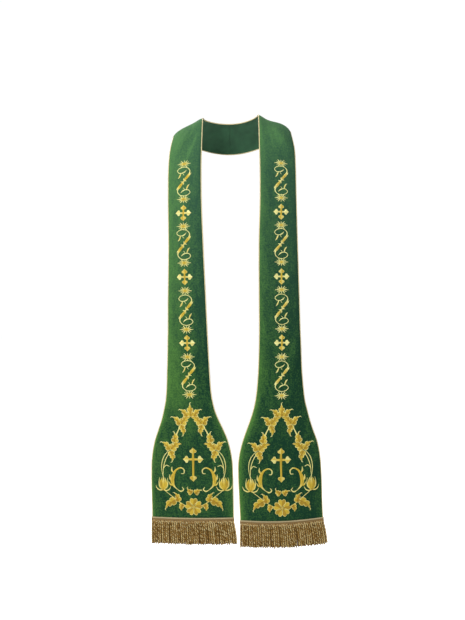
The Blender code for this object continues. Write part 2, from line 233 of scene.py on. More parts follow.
# %% [markdown]
# ## The cloth as a surface
#
# A pattern cutter marks a place on a panel by two measures: how far along it is and how far across.
# The class turns such a pair into a point in space. Smooth curves join the sections, the creases
# are added along the cloth's own outward direction, and the long edges roll back a little, as
# velvet does over its interlining. A flat strip could be bent with modifiers instead. A formula was
# chosen because cloth, cords, fringe and stitches can then all ask it for points.


# %% The cloth as a surface
class Panel:
    """One side's cloth: along is the distance from the nape seam, down the panel's middle, and
    across goes from 0 at the inner edge to 1 at the outer."""

    def __init__(self, side):
        self.hang = HANGS[side]
        self.pile = PILES[side]
        self.creases = [crease for crease in LARGE_CREASES + SMALL_CREASES if crease.side == side]
        self.marks = [mark for mark in MARKS if mark.side == side]
        rows = [(row, getattr(row, side + "_inner"), getattr(row, side + "_outer")) for row in FRONT]
        sections = [self.nape_section(turn, *rows[0]) for turn in NAPE_TURNS]
        sections += [self.front_section(*row) for row in rows]
        self.inner = np.array([section[0] for section in sections])
        self.outer = np.array([section[1] for section in sections])
        self.swell = np.array([section[2] for section in sections])
        steps = np.linalg.norm(np.diff((self.inner + self.outer) / 2, axis=0), axis=1)
        self.knots = np.concatenate([[0.0], np.cumsum(steps)])
        self.length = float(self.knots[-1])

    def nape_section(self, turn, shoulder, shoulder_inner, shoulder_outer):
        """Inner point, outer point and swelling of a section behind the shoulder. turn goes from
        0 degrees at the shoulder line to 90 at the nape seam."""
        angle = math.radians(turn)
        back = math.sin(angle) ** 2
        down = NAPE_DROP * back - self.hang.rise * (1 - back)
        inner = np.array([shoulder_inner * math.cos(angle), NECK_HALF_DEPTH * math.sin(angle), -down])
        away = np.array([NECK_HALF_DEPTH * math.cos(angle), shoulder_inner * math.sin(angle), 0.0])
        away /= np.linalg.norm(away)
        shoulder_dip = shoulder.dip + self.hang.steeper
        dip = math.radians(shoulder_dip + (NAPE_DIP - shoulder_dip) * back)
        shoulder_width = (shoulder_outer - shoulder_inner) / math.cos(math.radians(shoulder_dip))
        width = shoulder_width + (NAPE_WIDTH - shoulder_width) * back
        slope = away * math.cos(dip) - np.array([0.0, 0.0, math.sin(dip)])
        bow = shoulder.bow + (NAPE_BOW - shoulder.bow) * back
        hollow = shoulder.hollow * self.hang.hollow * (1 - back)
        return inner, inner + width * slope, (bow, hollow, 0.0)

    def front_section(self, row, inner_x, outer_x):
        """Inner point, outer point and swelling of one row of the table."""
        hem_share = row.drop / FRONT[-1].drop
        down = row.drop - self.hang.rise * max(0.0, 1 - row.drop / SETTLED) + self.hang.longer * hem_share
        inner = np.array([inner_x, -row.forward, -down])
        reach = outer_x - inner_x
        dip = row.dip + self.hang.steeper * row.dip / FRONT[0].dip
        back, lower = (reach * math.tan(math.radians(tilt)) for tilt in (row.turn, dip))
        flared = min(1.0, max(0.0, (row.drop - FLARE) / (FRONT[-1].drop - FLARE)))
        bow = row.bow * (1 + (self.hang.bulge - 1) * flared)
        droop = self.hang.droop * flared**2
        hollow = row.hollow * self.hang.hollow
        return inner, inner + np.array([reach, back, -lower]), (bow, hollow, droop)

    def between(self, values, along, mirrored):
        """Values of the sections, read at any distance from the nape. The panel's mirror image
        lies before the first section, so that the two panels meet without a kink."""
        before_nape = values[1] * (np.array([-1.0, 1.0, 1.0]) if mirrored else 1.0)
        knots = np.concatenate([[-self.knots[1]], self.knots])
        return smooth_curve(knots, np.concatenate([[before_nape], values]), along)

    def smooth_points(self, along, across):
        """Points in the cloth's middle layer, before any crease."""
        inner = self.between(self.inner, along, True)
        outer = self.between(self.outer, along, True)
        bow, hollow, droop = self.between(self.swell, along, False).T
        next_inner = self.between(self.inner, along + 1e-4, True)
        next_outer = self.between(self.outer, along + 1e-4, True)
        outward = np.cross(next_inner + next_outer - inner - outer, outer - inner)
        outward /= np.linalg.norm(outward, axis=1)[:, None]
        rise = bow * np.sin(np.pi * across) - hollow * np.sin(2 * np.pi * across)
        points = inner + (outer - inner) * across[:, None] + outward * rise[:, None]
        points[:, 2] -= droop * np.sin(np.pi * across)
        return points

    def width(self, along):
        """How wide the panel is, straight from edge to edge."""
        span = self.between(self.outer - self.inner, np.atleast_1d(along), True)
        return np.linalg.norm(span, axis=1)

    def near_line(self, line, along, aside):
        """1 on the middle of a line drawn on the cloth, fading to its sides and its ends."""
        start = np.array([line.along_1, line.across_1 * self.width(line.along_1)[0]])
        run = np.array([line.along_2, line.across_2 * self.width(line.along_2)[0]]) - start
        length = np.linalg.norm(run)
        here = np.stack([along, aside], axis=1) - start
        share = here @ run / length**2
        off_line = (here[:, 0] * run[1] - here[:, 1] * run[0]) / length
        fade = np.clip(1 - (2 * share - 1) ** 2, 0, 1) ** 1.5
        return fade * np.exp(-((off_line / line.half_width) ** 2))

    def painted_sheen_tone(self, along, across):
        """Painted sheen: how light the velvet is coloured at each place."""
        shape = across.shape
        along, across = np.broadcast_to(along, shape).ravel(), across.ravel()
        width = self.width(along)
        flared = np.clip((along - END_FROM) / END_FADE, 0, 1)
        # painted light: lighter towards the left edge, the side the key light comes from
        lit = across if self.hang.sign < 0 else 1 - across
        column = self.pile.column + self.pile.lit_edge * lit**self.pile.falloff
        from_inner = across * width
        from_outer = width - from_inner
        # painted sheen along both edges of the wide end, strongest on the lip where the cloth bends over
        end = self.pile.end + self.pile.end_inner * np.exp(-((from_inner / RIM_WIDTH) ** 2))
        end += self.pile.end_outer * np.exp(-((from_outer / RIM_WIDTH) ** 2))
        end += self.pile.lip_inner * np.exp(-((from_inner / LIP_WIDTH) ** 2))
        end += self.pile.lip_outer * np.exp(-((from_outer / LIP_WIDTH) ** 2))
        tone = column + (end - column) * flared
        # painted highlights and shade along the creases, and lighter and darker patches
        for mark in self.marks:
            tone = tone + mark.lighter * self.near_line(mark, along, across * width)
        return tone.reshape(shape)

    def crease_heights(self, along, across):
        """How far creases and rolled edges lift the cloth at each place."""
        heights = np.zeros_like(along)
        width = self.width(along)
        aside = across * width
        for crease in self.creases:
            heights += crease.height * self.near_line(crease, along, aside)
        from_edge = np.minimum(aside, width - aside)
        rolled = np.clip(1 - from_edge / EDGE_ROLL_WIDTH, 0, 1) ** 2
        near_hem = np.clip((self.length - along) / ROLL_FADE, 0, 1)
        return heights - EDGE_ROLL * rolled * near_hem

    def points(self, along, across, out=0.0):
        """Points out in front of the cloth's middle layer, and the directions there: down the
        panel, across it and out of it."""
        along, across, out = np.broadcast_arrays(*(np.asarray(v, float) for v in (along, across, out)))
        shape = along.shape + (3,)
        along, across, out = along.ravel(), across.ravel(), out.ravel()
        step = 1e-3
        down = self.smooth_points(along + step, across) - self.smooth_points(along - step, across)
        aside = self.smooth_points(along, across + step) - self.smooth_points(along, across - step)
        outward = np.cross(down, aside)
        for direction in (down, aside, outward):
            direction /= np.linalg.norm(direction, axis=1)[:, None]
        heights = self.crease_heights(along, across) + out
        points = self.smooth_points(along, across) + outward * heights[:, None]
        side = np.array([self.hang.sign, 1.0, 1.0])
        return tuple((found * side).reshape(shape) for found in (points, down, aside, outward))


PANELS = {side: Panel(side) for side in HANGS}
for side, panel in PANELS.items():
    print(side, "panel:", round(panel.length, 3), "m from the nape to the hem")

# %% [markdown]
# ## Joining grids of points into a mesh
#
# Everything here is a grid: cloth, a cord, a strand or a stitched leaf is rows of points. This
# class gathers such grids and makes one mesh of them. Each grid carries two measures of its
# surface in metres, which become the UV map "threads", so that a material knows in which direction
# the threads run, and a tone, so that one thread material can hold pale, gold and orange threads.
# The tone also carries painted light and shade: the velvet's sheen, the fringe's grooves and
# glints, the heading's ribs and the lighter and deeper halves of stitched shapes. Blender's own
# operators could make each tube and strip, but thousands of them go much faster as arrays that are
# joined once.


# %% Joining grids of points into a mesh
class Grids:
    """Grids of points, gathered into one mesh."""

    def __init__(self):
        self.points, self.faces, self.uvs, self.tones, self.slots = [], [], [], [], []
        self.count = 0

    def add(self, points, uv, tone=0.0, slot=0, around=False, capped=False, inside_out=False):
        """A grid of rows and columns. around joins its last column to its first."""
        rows, columns = points.shape[:2]
        numbers = np.arange(rows * columns).reshape(rows, columns) + self.count
        if around:
            numbers = np.concatenate([numbers, numbers[:, :1]], axis=1)
        uv_numbers = np.arange(uv.shape[0] * uv.shape[1]).reshape(uv.shape[:2])
        quads = [quads_of(numbers), quads_of(uv_numbers)]
        if inside_out:
            quads = [quad[:, ::-1] for quad in quads]
        self.points.append(points.reshape(-1, 3))
        self.faces += quads[0].tolist()
        self.uvs.append(uv.reshape(-1, 2)[quads[1].ravel()])
        if capped:
            for row, turned in ((0, not inside_out), (-1, inside_out)):
                ring = numbers[row, :columns]
                self.faces.append((ring[::-1] if not turned else ring).tolist())
                self.uvs.append(uv[row, :columns])
        made = len(quads[0]) + (2 if capped else 0)
        self.tones.append(np.broadcast_to(tone, (rows, columns)).ravel())
        self.slots.append(np.full(made, slot))
        self.count += rows * columns

    def make(self, name, materials, weld=False):
        """The mesh as a piece of the scene. weld joins points that lie in one place."""
        mesh = bpy.data.meshes.new(name)
        mesh.from_pydata(np.concatenate(self.points).tolist(), [], self.faces)
        mesh.uv_layers.new(name="threads").data.foreach_set("uv", np.concatenate(self.uvs).ravel())
        tone = mesh.attributes.new("tone", "FLOAT", "POINT")
        tone.data.foreach_set("value", np.concatenate(self.tones))
        mesh.polygons.foreach_set("material_index", np.concatenate(self.slots))
        mesh.shade_smooth()
        for material in materials:
            mesh.materials.append(material)
        if weld:
            joined = bmesh.new()
            joined.from_mesh(mesh)
            bmesh.ops.remove_doubles(joined, verts=joined.verts, dist=1e-6)
            joined.to_mesh(mesh)
            joined.free()
        piece = bpy.data.objects.new(name, mesh)
        bpy.context.scene.collection.objects.link(piece)
        mesh.update()
        return piece


def quads_of(numbers):
    """Four corners for each cell of a grid of point numbers."""
    corners = (numbers[:-1, :-1], numbers[1:, :-1], numbers[1:, 1:], numbers[:-1, 1:])
    return np.stack(corners, axis=-1).reshape(-1, 4)


def tube(path, radius, sides, start=0.0):
    """Points round a path, and their measures: u once round, v along it in metres."""
    path = np.asarray(path)
    along = np.gradient(path, axis=0)
    along /= np.linalg.norm(along, axis=1)[:, None]
    first = np.cross(along, np.array([0.0, 1.0, 0.0]))
    first /= np.linalg.norm(first, axis=1)[:, None]
    second = np.cross(along, first)
    gone = np.concatenate([[0.0], np.cumsum(np.linalg.norm(np.diff(path, axis=0), axis=1))])
    round_it = np.linspace(0, 2 * np.pi, sides, endpoint=False)[None, :] + start
    radius = np.broadcast_to(radius, len(path))[:, None, None]
    points = path[:, None] + radius * (
        np.cos(round_it)[..., None] * first[:, None] + np.sin(round_it)[..., None] * second[:, None]
    )
    uv = np.stack(np.meshgrid(np.linspace(0, 1, sides + 1), gone), axis=-1)
    return points, uv


# %% [markdown]
# ## Building with nodes
#
# A material is a tree of nodes, and a group is a part of one that several materials share. Such
# trees could be drawn by hand in the shader editor. In a script, these helpers add a group, a sum or
# a blend and join its inputs in one line, which keeps the recipes below short enough to read.


# %% Building with nodes
def new_group(name, inputs, outputs):
    """An empty group of nodes, with its input and output nodes."""
    group = bpy.data.node_groups.new(name, "ShaderNodeTree")
    for label, kind, value in inputs:
        socket = group.interface.new_socket(label, in_out="INPUT", socket_type=kind)
        socket.default_value = value
    for label, kind in outputs:
        group.interface.new_socket(label, in_out="OUTPUT", socket_type=kind)
    return group, group.nodes.new("NodeGroupInput"), group.nodes.new("NodeGroupOutput")


def add_math(tree, operation, first, second=None, third=None, clamp=False):
    """The result of one sum. Each value is a number or another node's output."""
    node = tree.nodes.new("ShaderNodeMath")
    node.operation = operation
    node.use_clamp = clamp
    for socket, value in zip(node.inputs, (first, second, third)):
        if value is None:
            continue
        if isinstance(value, (int, float)):
            socket.default_value = value
        else:
            tree.links.new(value, socket)
    return node.outputs[0]


def add_mix(tree, share, first, second):
    """A blend of two colours."""
    node = tree.nodes.new("ShaderNodeMix")
    node.data_type = "RGBA"
    sockets = (node.inputs[0], node.inputs[6], node.inputs[7])
    for socket, value in zip(sockets, (share, first, second)):
        if isinstance(value, (int, float, tuple)):
            socket.default_value = value
        else:
            tree.links.new(value, socket)
    return node.outputs[2]


# %% [markdown]
# ## Threads, naps and colours
#
# Four small groups of nodes do the work for all materials. "fine lines" raises even lines, such as
# stitches or the twist of a cord, from the UV map. "mottle" varies a colour over some millimetres,
# because no pile or thread is even. "nap streaks" draws long soft patches down a panel, where the
# pile has been stroked. "tone colours" turns a mesh's tone, which holds thread colours and painted
# light and shade, into a blend of three colours. As real geometry, relief this fine would take
# millions of faces, and as nodes it costs none.


# %% Threads, naps and colours
def make_fine_lines():
    """Height of even rounded lines: pitch apart along v, and slant per unit of u."""
    group, given, result = new_group(
        "fine lines",
        [("Pitch", "NodeSocketFloat", 0.0005), ("Slant", "NodeSocketFloat", 0.0)],
        [("Height", "NodeSocketFloat")],
    )
    threads = group.nodes.new("ShaderNodeUVMap")
    threads.uv_map = "threads"
    split = group.nodes.new("ShaderNodeSeparateXYZ")
    group.links.new(threads.outputs[0], split.inputs[0])
    slanted = add_math(group, "MULTIPLY", split.outputs["X"], given.outputs["Slant"])
    count = add_math(group, "DIVIDE", split.outputs["Y"], given.outputs["Pitch"])
    phase = add_math(group, "ADD", count, slanted)
    wave = add_math(group, "SINE", add_math(group, "MULTIPLY", phase, math.pi))
    group.links.new(add_math(group, "ABSOLUTE", wave), result.inputs["Height"])
    return group


def make_mottle():
    """Noise of one size and detail, spread out to a mask from 0 to 1."""
    group, given, result = new_group(
        "mottle",
        [("Scale", "NodeSocketFloat", 120.0), ("Detail", "NodeSocketFloat", 3.0)],
        [("Mask", "NodeSocketFloat")],
    )
    place = group.nodes.new("ShaderNodeTexCoord")
    noise = group.nodes.new("ShaderNodeTexNoise")
    group.links.new(place.outputs["Object"], noise.inputs["Vector"])
    group.links.new(given.outputs["Scale"], noise.inputs["Scale"])
    group.links.new(given.outputs["Detail"], noise.inputs["Detail"])
    spread = add_math(group, "MULTIPLY_ADD", noise.outputs[0], 2.6, -0.8, clamp=True)
    group.links.new(spread, result.inputs["Mask"])
    return group


def make_nap_streaks():
    """Long soft patches where a pile has been stroked, from the UV map."""
    group, given, result = new_group(
        "nap streaks",
        [("Across", "NodeSocketFloat", 60.0), ("Along", "NodeSocketFloat", 16.0)],
        [("Mask", "NodeSocketFloat")],
    )
    threads = group.nodes.new("ShaderNodeUVMap")
    threads.uv_map = "threads"
    split = group.nodes.new("ShaderNodeSeparateXYZ")
    group.links.new(threads.outputs[0], split.inputs[0])
    joined = group.nodes.new("ShaderNodeCombineXYZ")
    for axis, label in (("X", "Across"), ("Y", "Along")):
        stretched = add_math(group, "MULTIPLY", split.outputs[axis], given.outputs[label])
        group.links.new(stretched, joined.inputs[axis])
    noise = group.nodes.new("ShaderNodeTexNoise")
    noise.inputs["Scale"].default_value = 1.0
    noise.inputs["Detail"].default_value = 4.0
    noise.inputs["Distortion"].default_value = 0.8
    group.links.new(joined.outputs[0], noise.inputs["Vector"])
    spread = add_math(group, "MULTIPLY_ADD", noise.outputs[0], 3.0, -1.0, clamp=True)
    group.links.new(spread, result.inputs["Mask"])
    return group


def make_tone_colours():
    """A blend of three colours: -1 is the deep one, 0 the middle one and 1 the pale one."""
    group, given, result = new_group(
        "tone colours",
        [
            ("Deep", "NodeSocketColor", (0.6, 0.27, 0.04, 1.0)),
            ("Middle", "NodeSocketColor", (0.5, 0.34, 0.05, 1.0)),
            ("Pale", "NodeSocketColor", (0.75, 0.68, 0.25, 1.0)),
        ],
        [("Color", "NodeSocketColor")],
    )
    tone = group.nodes.new("ShaderNodeAttribute")
    tone.attribute_name = "tone"
    up = add_math(group, "MULTIPLY", tone.outputs["Fac"], 1.0, clamp=True)
    down = add_math(group, "MULTIPLY", tone.outputs["Fac"], -1.0, clamp=True)
    paler = add_mix(group, up, given.outputs["Middle"], given.outputs["Pale"])
    group.links.new(add_mix(group, down, paler, given.outputs["Deep"]), result.inputs["Color"])
    return group


FINE_LINES = make_fine_lines()
MOTTLE = make_mottle()
NAP_STREAKS = make_nap_streaks()
TONE_COLOURS = make_tone_colours()
print("groups of nodes:", [group.name for group in bpy.data.node_groups])

# %% [markdown]
# ## Velvet and backing
#
# Velvet has almost no shine of its own. What it shows is how its pile takes the light, and here
# that is painted: its colour runs from a shaded, nearly black green to a lit, bright green with the
# mesh's painted sheen tone, with painted light where it faces left and up towards the lamps, and
# with the streaks and speckles of the pile. Hair particles could stand for the pile itself, but
# from a step away it shows only as light and dark. The backing is a plain weave in a darker green.


# %% Velvet and backing
def add_group(tree, group, **values):
    """One of the groups, with its inputs set. Gives its outputs."""
    node = tree.nodes.new("ShaderNodeGroup")
    node.node_tree = group
    for label, value in values.items():
        node.inputs[label].default_value = value
    return node.outputs


def new_material(
    name, roughness, metallic=0.0, sheen=0.0, sheen_roughness=0.5, sheen_tint=(1, 1, 1, 1)
):
    """A material, its nodes and its shader."""
    material = bpy.data.materials.new(name)
    material.use_nodes = True
    shader = material.node_tree.nodes["Principled BSDF"]
    shader.inputs["Roughness"].default_value = roughness
    shader.inputs["Metallic"].default_value = metallic
    shader.inputs["Sheen Weight"].default_value = sheen
    shader.inputs["Sheen Roughness"].default_value = sheen_roughness
    shader.inputs["Sheen Tint"].default_value = sheen_tint
    return material, material.node_tree, shader


def add_bump(tree, shader, height, strength, distance):
    """Relief without extra points: distance is how high the height 1 stands, in metres."""
    bump = tree.nodes.new("ShaderNodeBump")
    bump.inputs["Strength"].default_value = strength
    bump.inputs["Distance"].default_value = distance
    tree.links.new(height, bump.inputs["Height"])
    tree.links.new(bump.outputs["Normal"], shader.inputs["Normal"])


# painted light: shaded and lit copies of the velvet's green
VELVET_SHADED = (0.0055, 0.0380, 0.0185, 1.0)
VELVET_LIT = (0.0700, 0.1850, 0.0360, 1.0)
# a paler haze of painted sheen, mixed in towards the neck
VELVET_SHEEN_HAZE = (0.0820, 0.1980, 0.1200, 1.0)
BACKING_DEEP = (0.012, 0.070, 0.028, 1.0)
BACKING_LIGHT = (0.020, 0.100, 0.040, 1.0)
# painted light where the surface faces left and up, towards the lamps
PILE_OFFSET = -0.63
LIGHT_FROM_LEFT = -0.55
LIGHT_FROM_ABOVE = 0.5
STREAK_SHARE = 0.28
SPECKLE_SHARE = 0.60
GRAIN_SHARE = 0.26
# painted sheen: the haze is strongest at the neck and fades down the panel
NAPE_SHEEN_HAZE = 0.42
SHEEN_HAZE_FADE = -0.45  # for each metre down the panel


def make_velvet():
    """The mesh's tone is painted sheen. The colour is painted lighter where the surface faces left or
    up, towards the lamps, so creases vary it, and streaks and speckles vary it too. Towards the neck,
    which is turned up to the light, a paler haze of painted sheen is mixed in."""
    material, tree, shader = new_material(
        "green velvet", 0.85, sheen=0.14, sheen_roughness=0.4, sheen_tint=(0.50, 0.90, 0.45, 1.0)
    )
    shader.inputs["Specular IOR Level"].default_value = 0.10
    streaks = add_group(tree, NAP_STREAKS, Across=52.0, Along=17.0)["Mask"]
    fine = add_group(tree, MOTTLE, Scale=270.0, Detail=3.0)["Mask"]
    grain = add_group(tree, MOTTLE, Scale=1100.0, Detail=2.0)["Mask"]
    # the tone attribute here is the velvet's painted sheen
    lie = tree.nodes.new("ShaderNodeAttribute")
    lie.attribute_name = "tone"
    facing = tree.nodes.new("ShaderNodeNewGeometry")
    split = tree.nodes.new("ShaderNodeSeparateXYZ")
    tree.links.new(facing.outputs["Normal"], split.inputs[0])
    # painted sheen and light: the tone, then lighter where the surface faces left and up
    mask = add_math(tree, "ADD", lie.outputs["Fac"], PILE_OFFSET)
    mask = add_math(tree, "MULTIPLY_ADD", split.outputs["X"], LIGHT_FROM_LEFT, mask)
    mask = add_math(tree, "MULTIPLY_ADD", split.outputs["Z"], LIGHT_FROM_ABOVE, mask)
    mask = add_math(tree, "MULTIPLY_ADD", streaks, STREAK_SHARE, mask)
    mask = add_math(tree, "MULTIPLY_ADD", fine, SPECKLE_SHARE, mask)
    mask = add_math(tree, "MULTIPLY_ADD", grain, GRAIN_SHARE, mask, clamp=True)
    colour = add_mix(tree, mask, VELVET_SHADED, VELVET_LIT)
    threads = tree.nodes.new("ShaderNodeUVMap")
    threads.uv_map = "threads"
    place = tree.nodes.new("ShaderNodeSeparateXYZ")
    tree.links.new(threads.outputs[0], place.inputs[0])
    along = place.outputs["Y"]
    # painted sheen: a paler haze towards the neck, which is turned up to the light
    dull = add_math(tree, "MULTIPLY_ADD", along, SHEEN_HAZE_FADE, NAPE_SHEEN_HAZE, clamp=True)
    tree.links.new(add_mix(tree, dull, colour, VELVET_SHEEN_HAZE), shader.inputs["Base Color"])
    rough = add_math(tree, "MULTIPLY_ADD", grain, 0.6, add_math(tree, "MULTIPLY", fine, 0.4))
    add_bump(tree, shader, rough, 0.5, 0.0006)
    return material


def make_backing():
    """A plain weave of dull green threads."""
    material, tree, shader = new_material("green backing", 0.75, sheen=0.1)
    warp = add_group(tree, FINE_LINES, Pitch=0.0006)["Height"]
    weft = add_group(tree, FINE_LINES, Pitch=1.0, Slant=1600.0)["Height"]
    weave = add_math(tree, "MULTIPLY", warp, weft)
    coarse = add_group(tree, MOTTLE, Scale=40.0, Detail=2.0)["Mask"]
    colour = add_mix(tree, coarse, BACKING_DEEP, BACKING_LIGHT)
    tree.links.new(colour, shader.inputs["Base Color"])
    add_bump(tree, shader, weave, 0.35, 0.0002)
    return material


VELVET = make_velvet()
BACKING = make_backing()
print("materials:", VELVET.name, "and", BACKING.name)

# %% [markdown]
# ## The two panels
#
# Each is one closed skin: the velvet in front and the backing behind, meeting in a soft rounded
# edge. The skin is as thick as the solid that it stands for. A Solidify modifier could thicken a
# single sheet, but it would leave a square edge. So both faces are worked out here, and they draw
# together towards the edge in narrow columns.

# %% The two panels
EDGE_ROUNDING = 0.0034
EDGE_STEPS = (0.0, 0.0002, 0.0008, 0.0018, 0.0034, 0.0056, 0.0086, 0.0122, 0.0162)
END_ROUNDING = 0.002
END_STEPS = (0.0, 0.0003, 0.0009, 0.0018)
MIDDLE_COLUMNS = 30
FIRST_ROW = 0.004
LAST_ROW = 0.003
ROW_STEP = 0.0034


def panel_rows(panel):
    """Distances from the nape: close together at both ends, and even between them."""
    rounded = np.array(END_STEPS)
    rows = np.arange(FIRST_ROW, panel.length - LAST_ROW, ROW_STEP)
    return np.concatenate([rounded, rows, panel.length - rounded[::-1]])


def build_panel_skin(side):
    """One panel's velvet and backing. Both are thinnest at the edges, where they meet."""
    panel = PANELS[side]
    along = panel_rows(panel)
    width = panel.width(along)[:, None]
    edge = np.array(EDGE_STEPS)[None, :] / width
    inside = np.linspace(0, 1, MIDDLE_COLUMNS + 2)[None, 1:-1]
    middle = edge[:, -1:] + (1 - 2 * edge[:, -1:]) * inside
    across = np.concatenate([edge, middle, 1 - edge[:, ::-1]], axis=1)
    from_edge = np.minimum(across, 1 - across) * width
    share = np.clip(from_edge / EDGE_ROUNDING, 0, 1)
    from_end = np.minimum(along, panel.length - along)[:, None]
    end_share = np.clip(from_end / END_ROUNDING, 0, 1)
    half = WALL / 2 * np.sqrt(1 - (1 - share) ** 2) * np.sqrt(1 - (1 - end_share) ** 2)
    front = panel.points(along[:, None], across, half)[0]
    back = panel.points(along[:, None], across, -half)[0]
    measures = np.stack([across * width, np.broadcast_to(along[:, None], across.shape)], axis=-1)
    skin = Grids()
    flip = panel.hang.sign > 0
    skin.add(front, measures, panel.painted_sheen_tone(along[:, None], across), slot=0, inside_out=not flip)
    skin.add(back, measures, slot=1, inside_out=flip)
    piece = skin.make("velvet_" + side, [VELVET, BACKING], weld=True)
    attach(piece, "root")
    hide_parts("panel_" + side)
    print(piece.name, len(piece.data.polygons), "faces")
    return piece


SKINS = {side: build_panel_skin(side) for side in HANGS}

# %% [markdown]
# ## Gold thread
#
# Cord, fringe and embroidery are all gold thread, so one recipe makes their materials. It takes
# three colours for the mesh's tones. It paints shade into the hollows between the threads, and
# darkens the threads themselves in uneven patches, as wear and tarnish do. Pictures of thread could
# be laid on instead, but lines worked out from each strip's own measures always run with its
# stitches.

# %% Gold thread
# painted shade in the hollows between the threads
HOLLOW_DARK = 0.42
HOLLOW_SHARE = 0.55
LINE_STRENGTH = 0.6


def make_thread_material(
    name, colours, pitch, slant, depth, metallic=0.15, roughness=0.45, uneven=(160.0, 0.22)
):
    """Twisted or stitched threads in three tones. uneven is how fine and how strong the dark
    patches are."""
    material, tree, shader = new_material(name, roughness, metallic)
    shader.inputs["Specular IOR Level"].default_value = 0.3
    tones = add_group(tree, TONE_COLOURS, Deep=colours[0], Middle=colours[1], Pale=colours[2])["Color"]
    lines = add_group(tree, FINE_LINES, Pitch=pitch, Slant=slant)["Height"]
    patches = add_group(tree, MOTTLE, Scale=uneven[0], Detail=2.0)["Mask"]
    dark = tuple(HOLLOW_DARK * part for part in colours[1][:3]) + (1.0,)
    # painted shade in the hollows, and uneven dark patches
    hollow = add_math(tree, "MULTIPLY_ADD", lines, -1.0, 1.0, clamp=True)
    shade = add_math(tree, "MULTIPLY", add_math(tree, "POWER", hollow, 3.0), HOLLOW_SHARE)
    patches_and_shade = add_math(tree, "MULTIPLY_ADD", patches, uneven[1], shade, clamp=True)
    tree.links.new(add_mix(tree, patches_and_shade, tones, dark), shader.inputs["Base Color"])
    add_bump(tree, shader, lines, LINE_STRENGTH, depth)
    return material


# %% [markdown]
# ## The cord along the edges
#
# A thin twisted cord hides the seam between velvet and backing. One cord runs from hem to hem round
# the inside of the neck, and another round the outside. Each is a tube along the cloth's rounded
# edge. It's a little thicker than the plain solid, because its threads swell, but reaches as far
# out. Its plies could be wound as the fringe's are. At 3 mm thick they would hardly show, so the
# twist comes from the material.

# %% The cord along the edges
CORD_COLOURS = ((0.46, 0.35, 0.16, 1.0), (0.82, 0.70, 0.38, 1.0), (0.95, 0.88, 0.58, 1.0))
CORD_GOLD = make_thread_material("twisted cord", CORD_COLOURS, 0.0010, 2.0, 0.0004)
CORD_STEP = 0.0035
CORD_SUNK = 0.0003
CORD_SIDES = 8
SOFT_CORD_RADIUS = 0.0014  # the plain solid's is CORD_RADIUS


def build_edge_cord(name, across):
    """The cord along one edge of both panels, from hem to hem."""
    halves = []
    for side in ("left", "right"):
        panel = PANELS[side]
        along = np.linspace(0, panel.length, round(panel.length / CORD_STEP))
        points, _, aside, _ = panel.points(along, across)
        outwards = aside if across == 1 else -aside
        halves.append(points + outwards * (2 * CORD_RADIUS - CORD_SUNK - SOFT_CORD_RADIUS))
    left, right = halves
    path = np.concatenate([left[:0:-1], (left[:1] + right[:1]) / 2, right[1:]])
    cord = Grids()
    points, uv = tube(path, SOFT_CORD_RADIUS, CORD_SIDES)
    cord.add(points, uv, around=True, capped=True, inside_out=True)
    piece = cord.make("twisted_" + name, [CORD_GOLD])
    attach(piece, "root")
    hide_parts(name)
    print(name, round(float(uv[-1, 0, 1]), 3), "m long")
    return piece


CORDS = [build_edge_cord("edge_cord_inner", 0.0), build_edge_cord("edge_cord_outer", 1.0)]

# %% [markdown]
# ## Gold for the fringe
#
# Bullion fringe is bought by the metre: a woven heading with strands hanging from it. Each strand is
# a rope of two plies, painted bright where a ply stands out and painted almost black, as shade, in
# the groove between them. The heading is duller than the ropes, so it has its own material.

# %% Gold for the fringe
# the deep colour is nearly black, for painted shade in the grooves and on the filling threads
FRINGE_COLOURS = ((0.030, 0.011, 0.001, 1.0), (0.600, 0.330, 0.064, 1.0), (1.000, 0.860, 0.430, 1.0))
FRINGE_GOLD = make_thread_material(
    "bullion", FRINGE_COLOURS, 0.00045, 1.0, 0.0002, 0.35, 0.40, (330.0, 0.55)
)
TAPE_COLOURS = ((0.100, 0.050, 0.015, 1.0), (0.370, 0.240, 0.090, 1.0), (0.560, 0.470, 0.270, 1.0))
FRINGE_TAPE = make_thread_material(
    "fringe tape", TAPE_COLOURS, 0.00060, 0.5, 0.0002, 0.10, 0.55, (330.0, 0.30)
)
print("materials:", FRINGE_GOLD.name, "and", FRINGE_TAPE.name)

# %% [markdown]
# ## The heading of the fringe
#
# The heading is a tape with a slanting braid along its top and upright ribs below it. The table is
# its outline from top to bottom and back behind: how far each point lies below the heading's top and
# in front of its back, how strongly the ribs stand there, and how light the thread is. The thread
# is painted darker in the groove under the braid and along the bottom and back, as shade. A flat
# strip with a woven pattern could do from afar, but the braid stands up by 2 mm and casts a shadow.

# %% The heading of the fringe
RIB_PITCH = 0.0027
RIB_COLUMNS = 5
RIB_HEIGHT = 0.0006
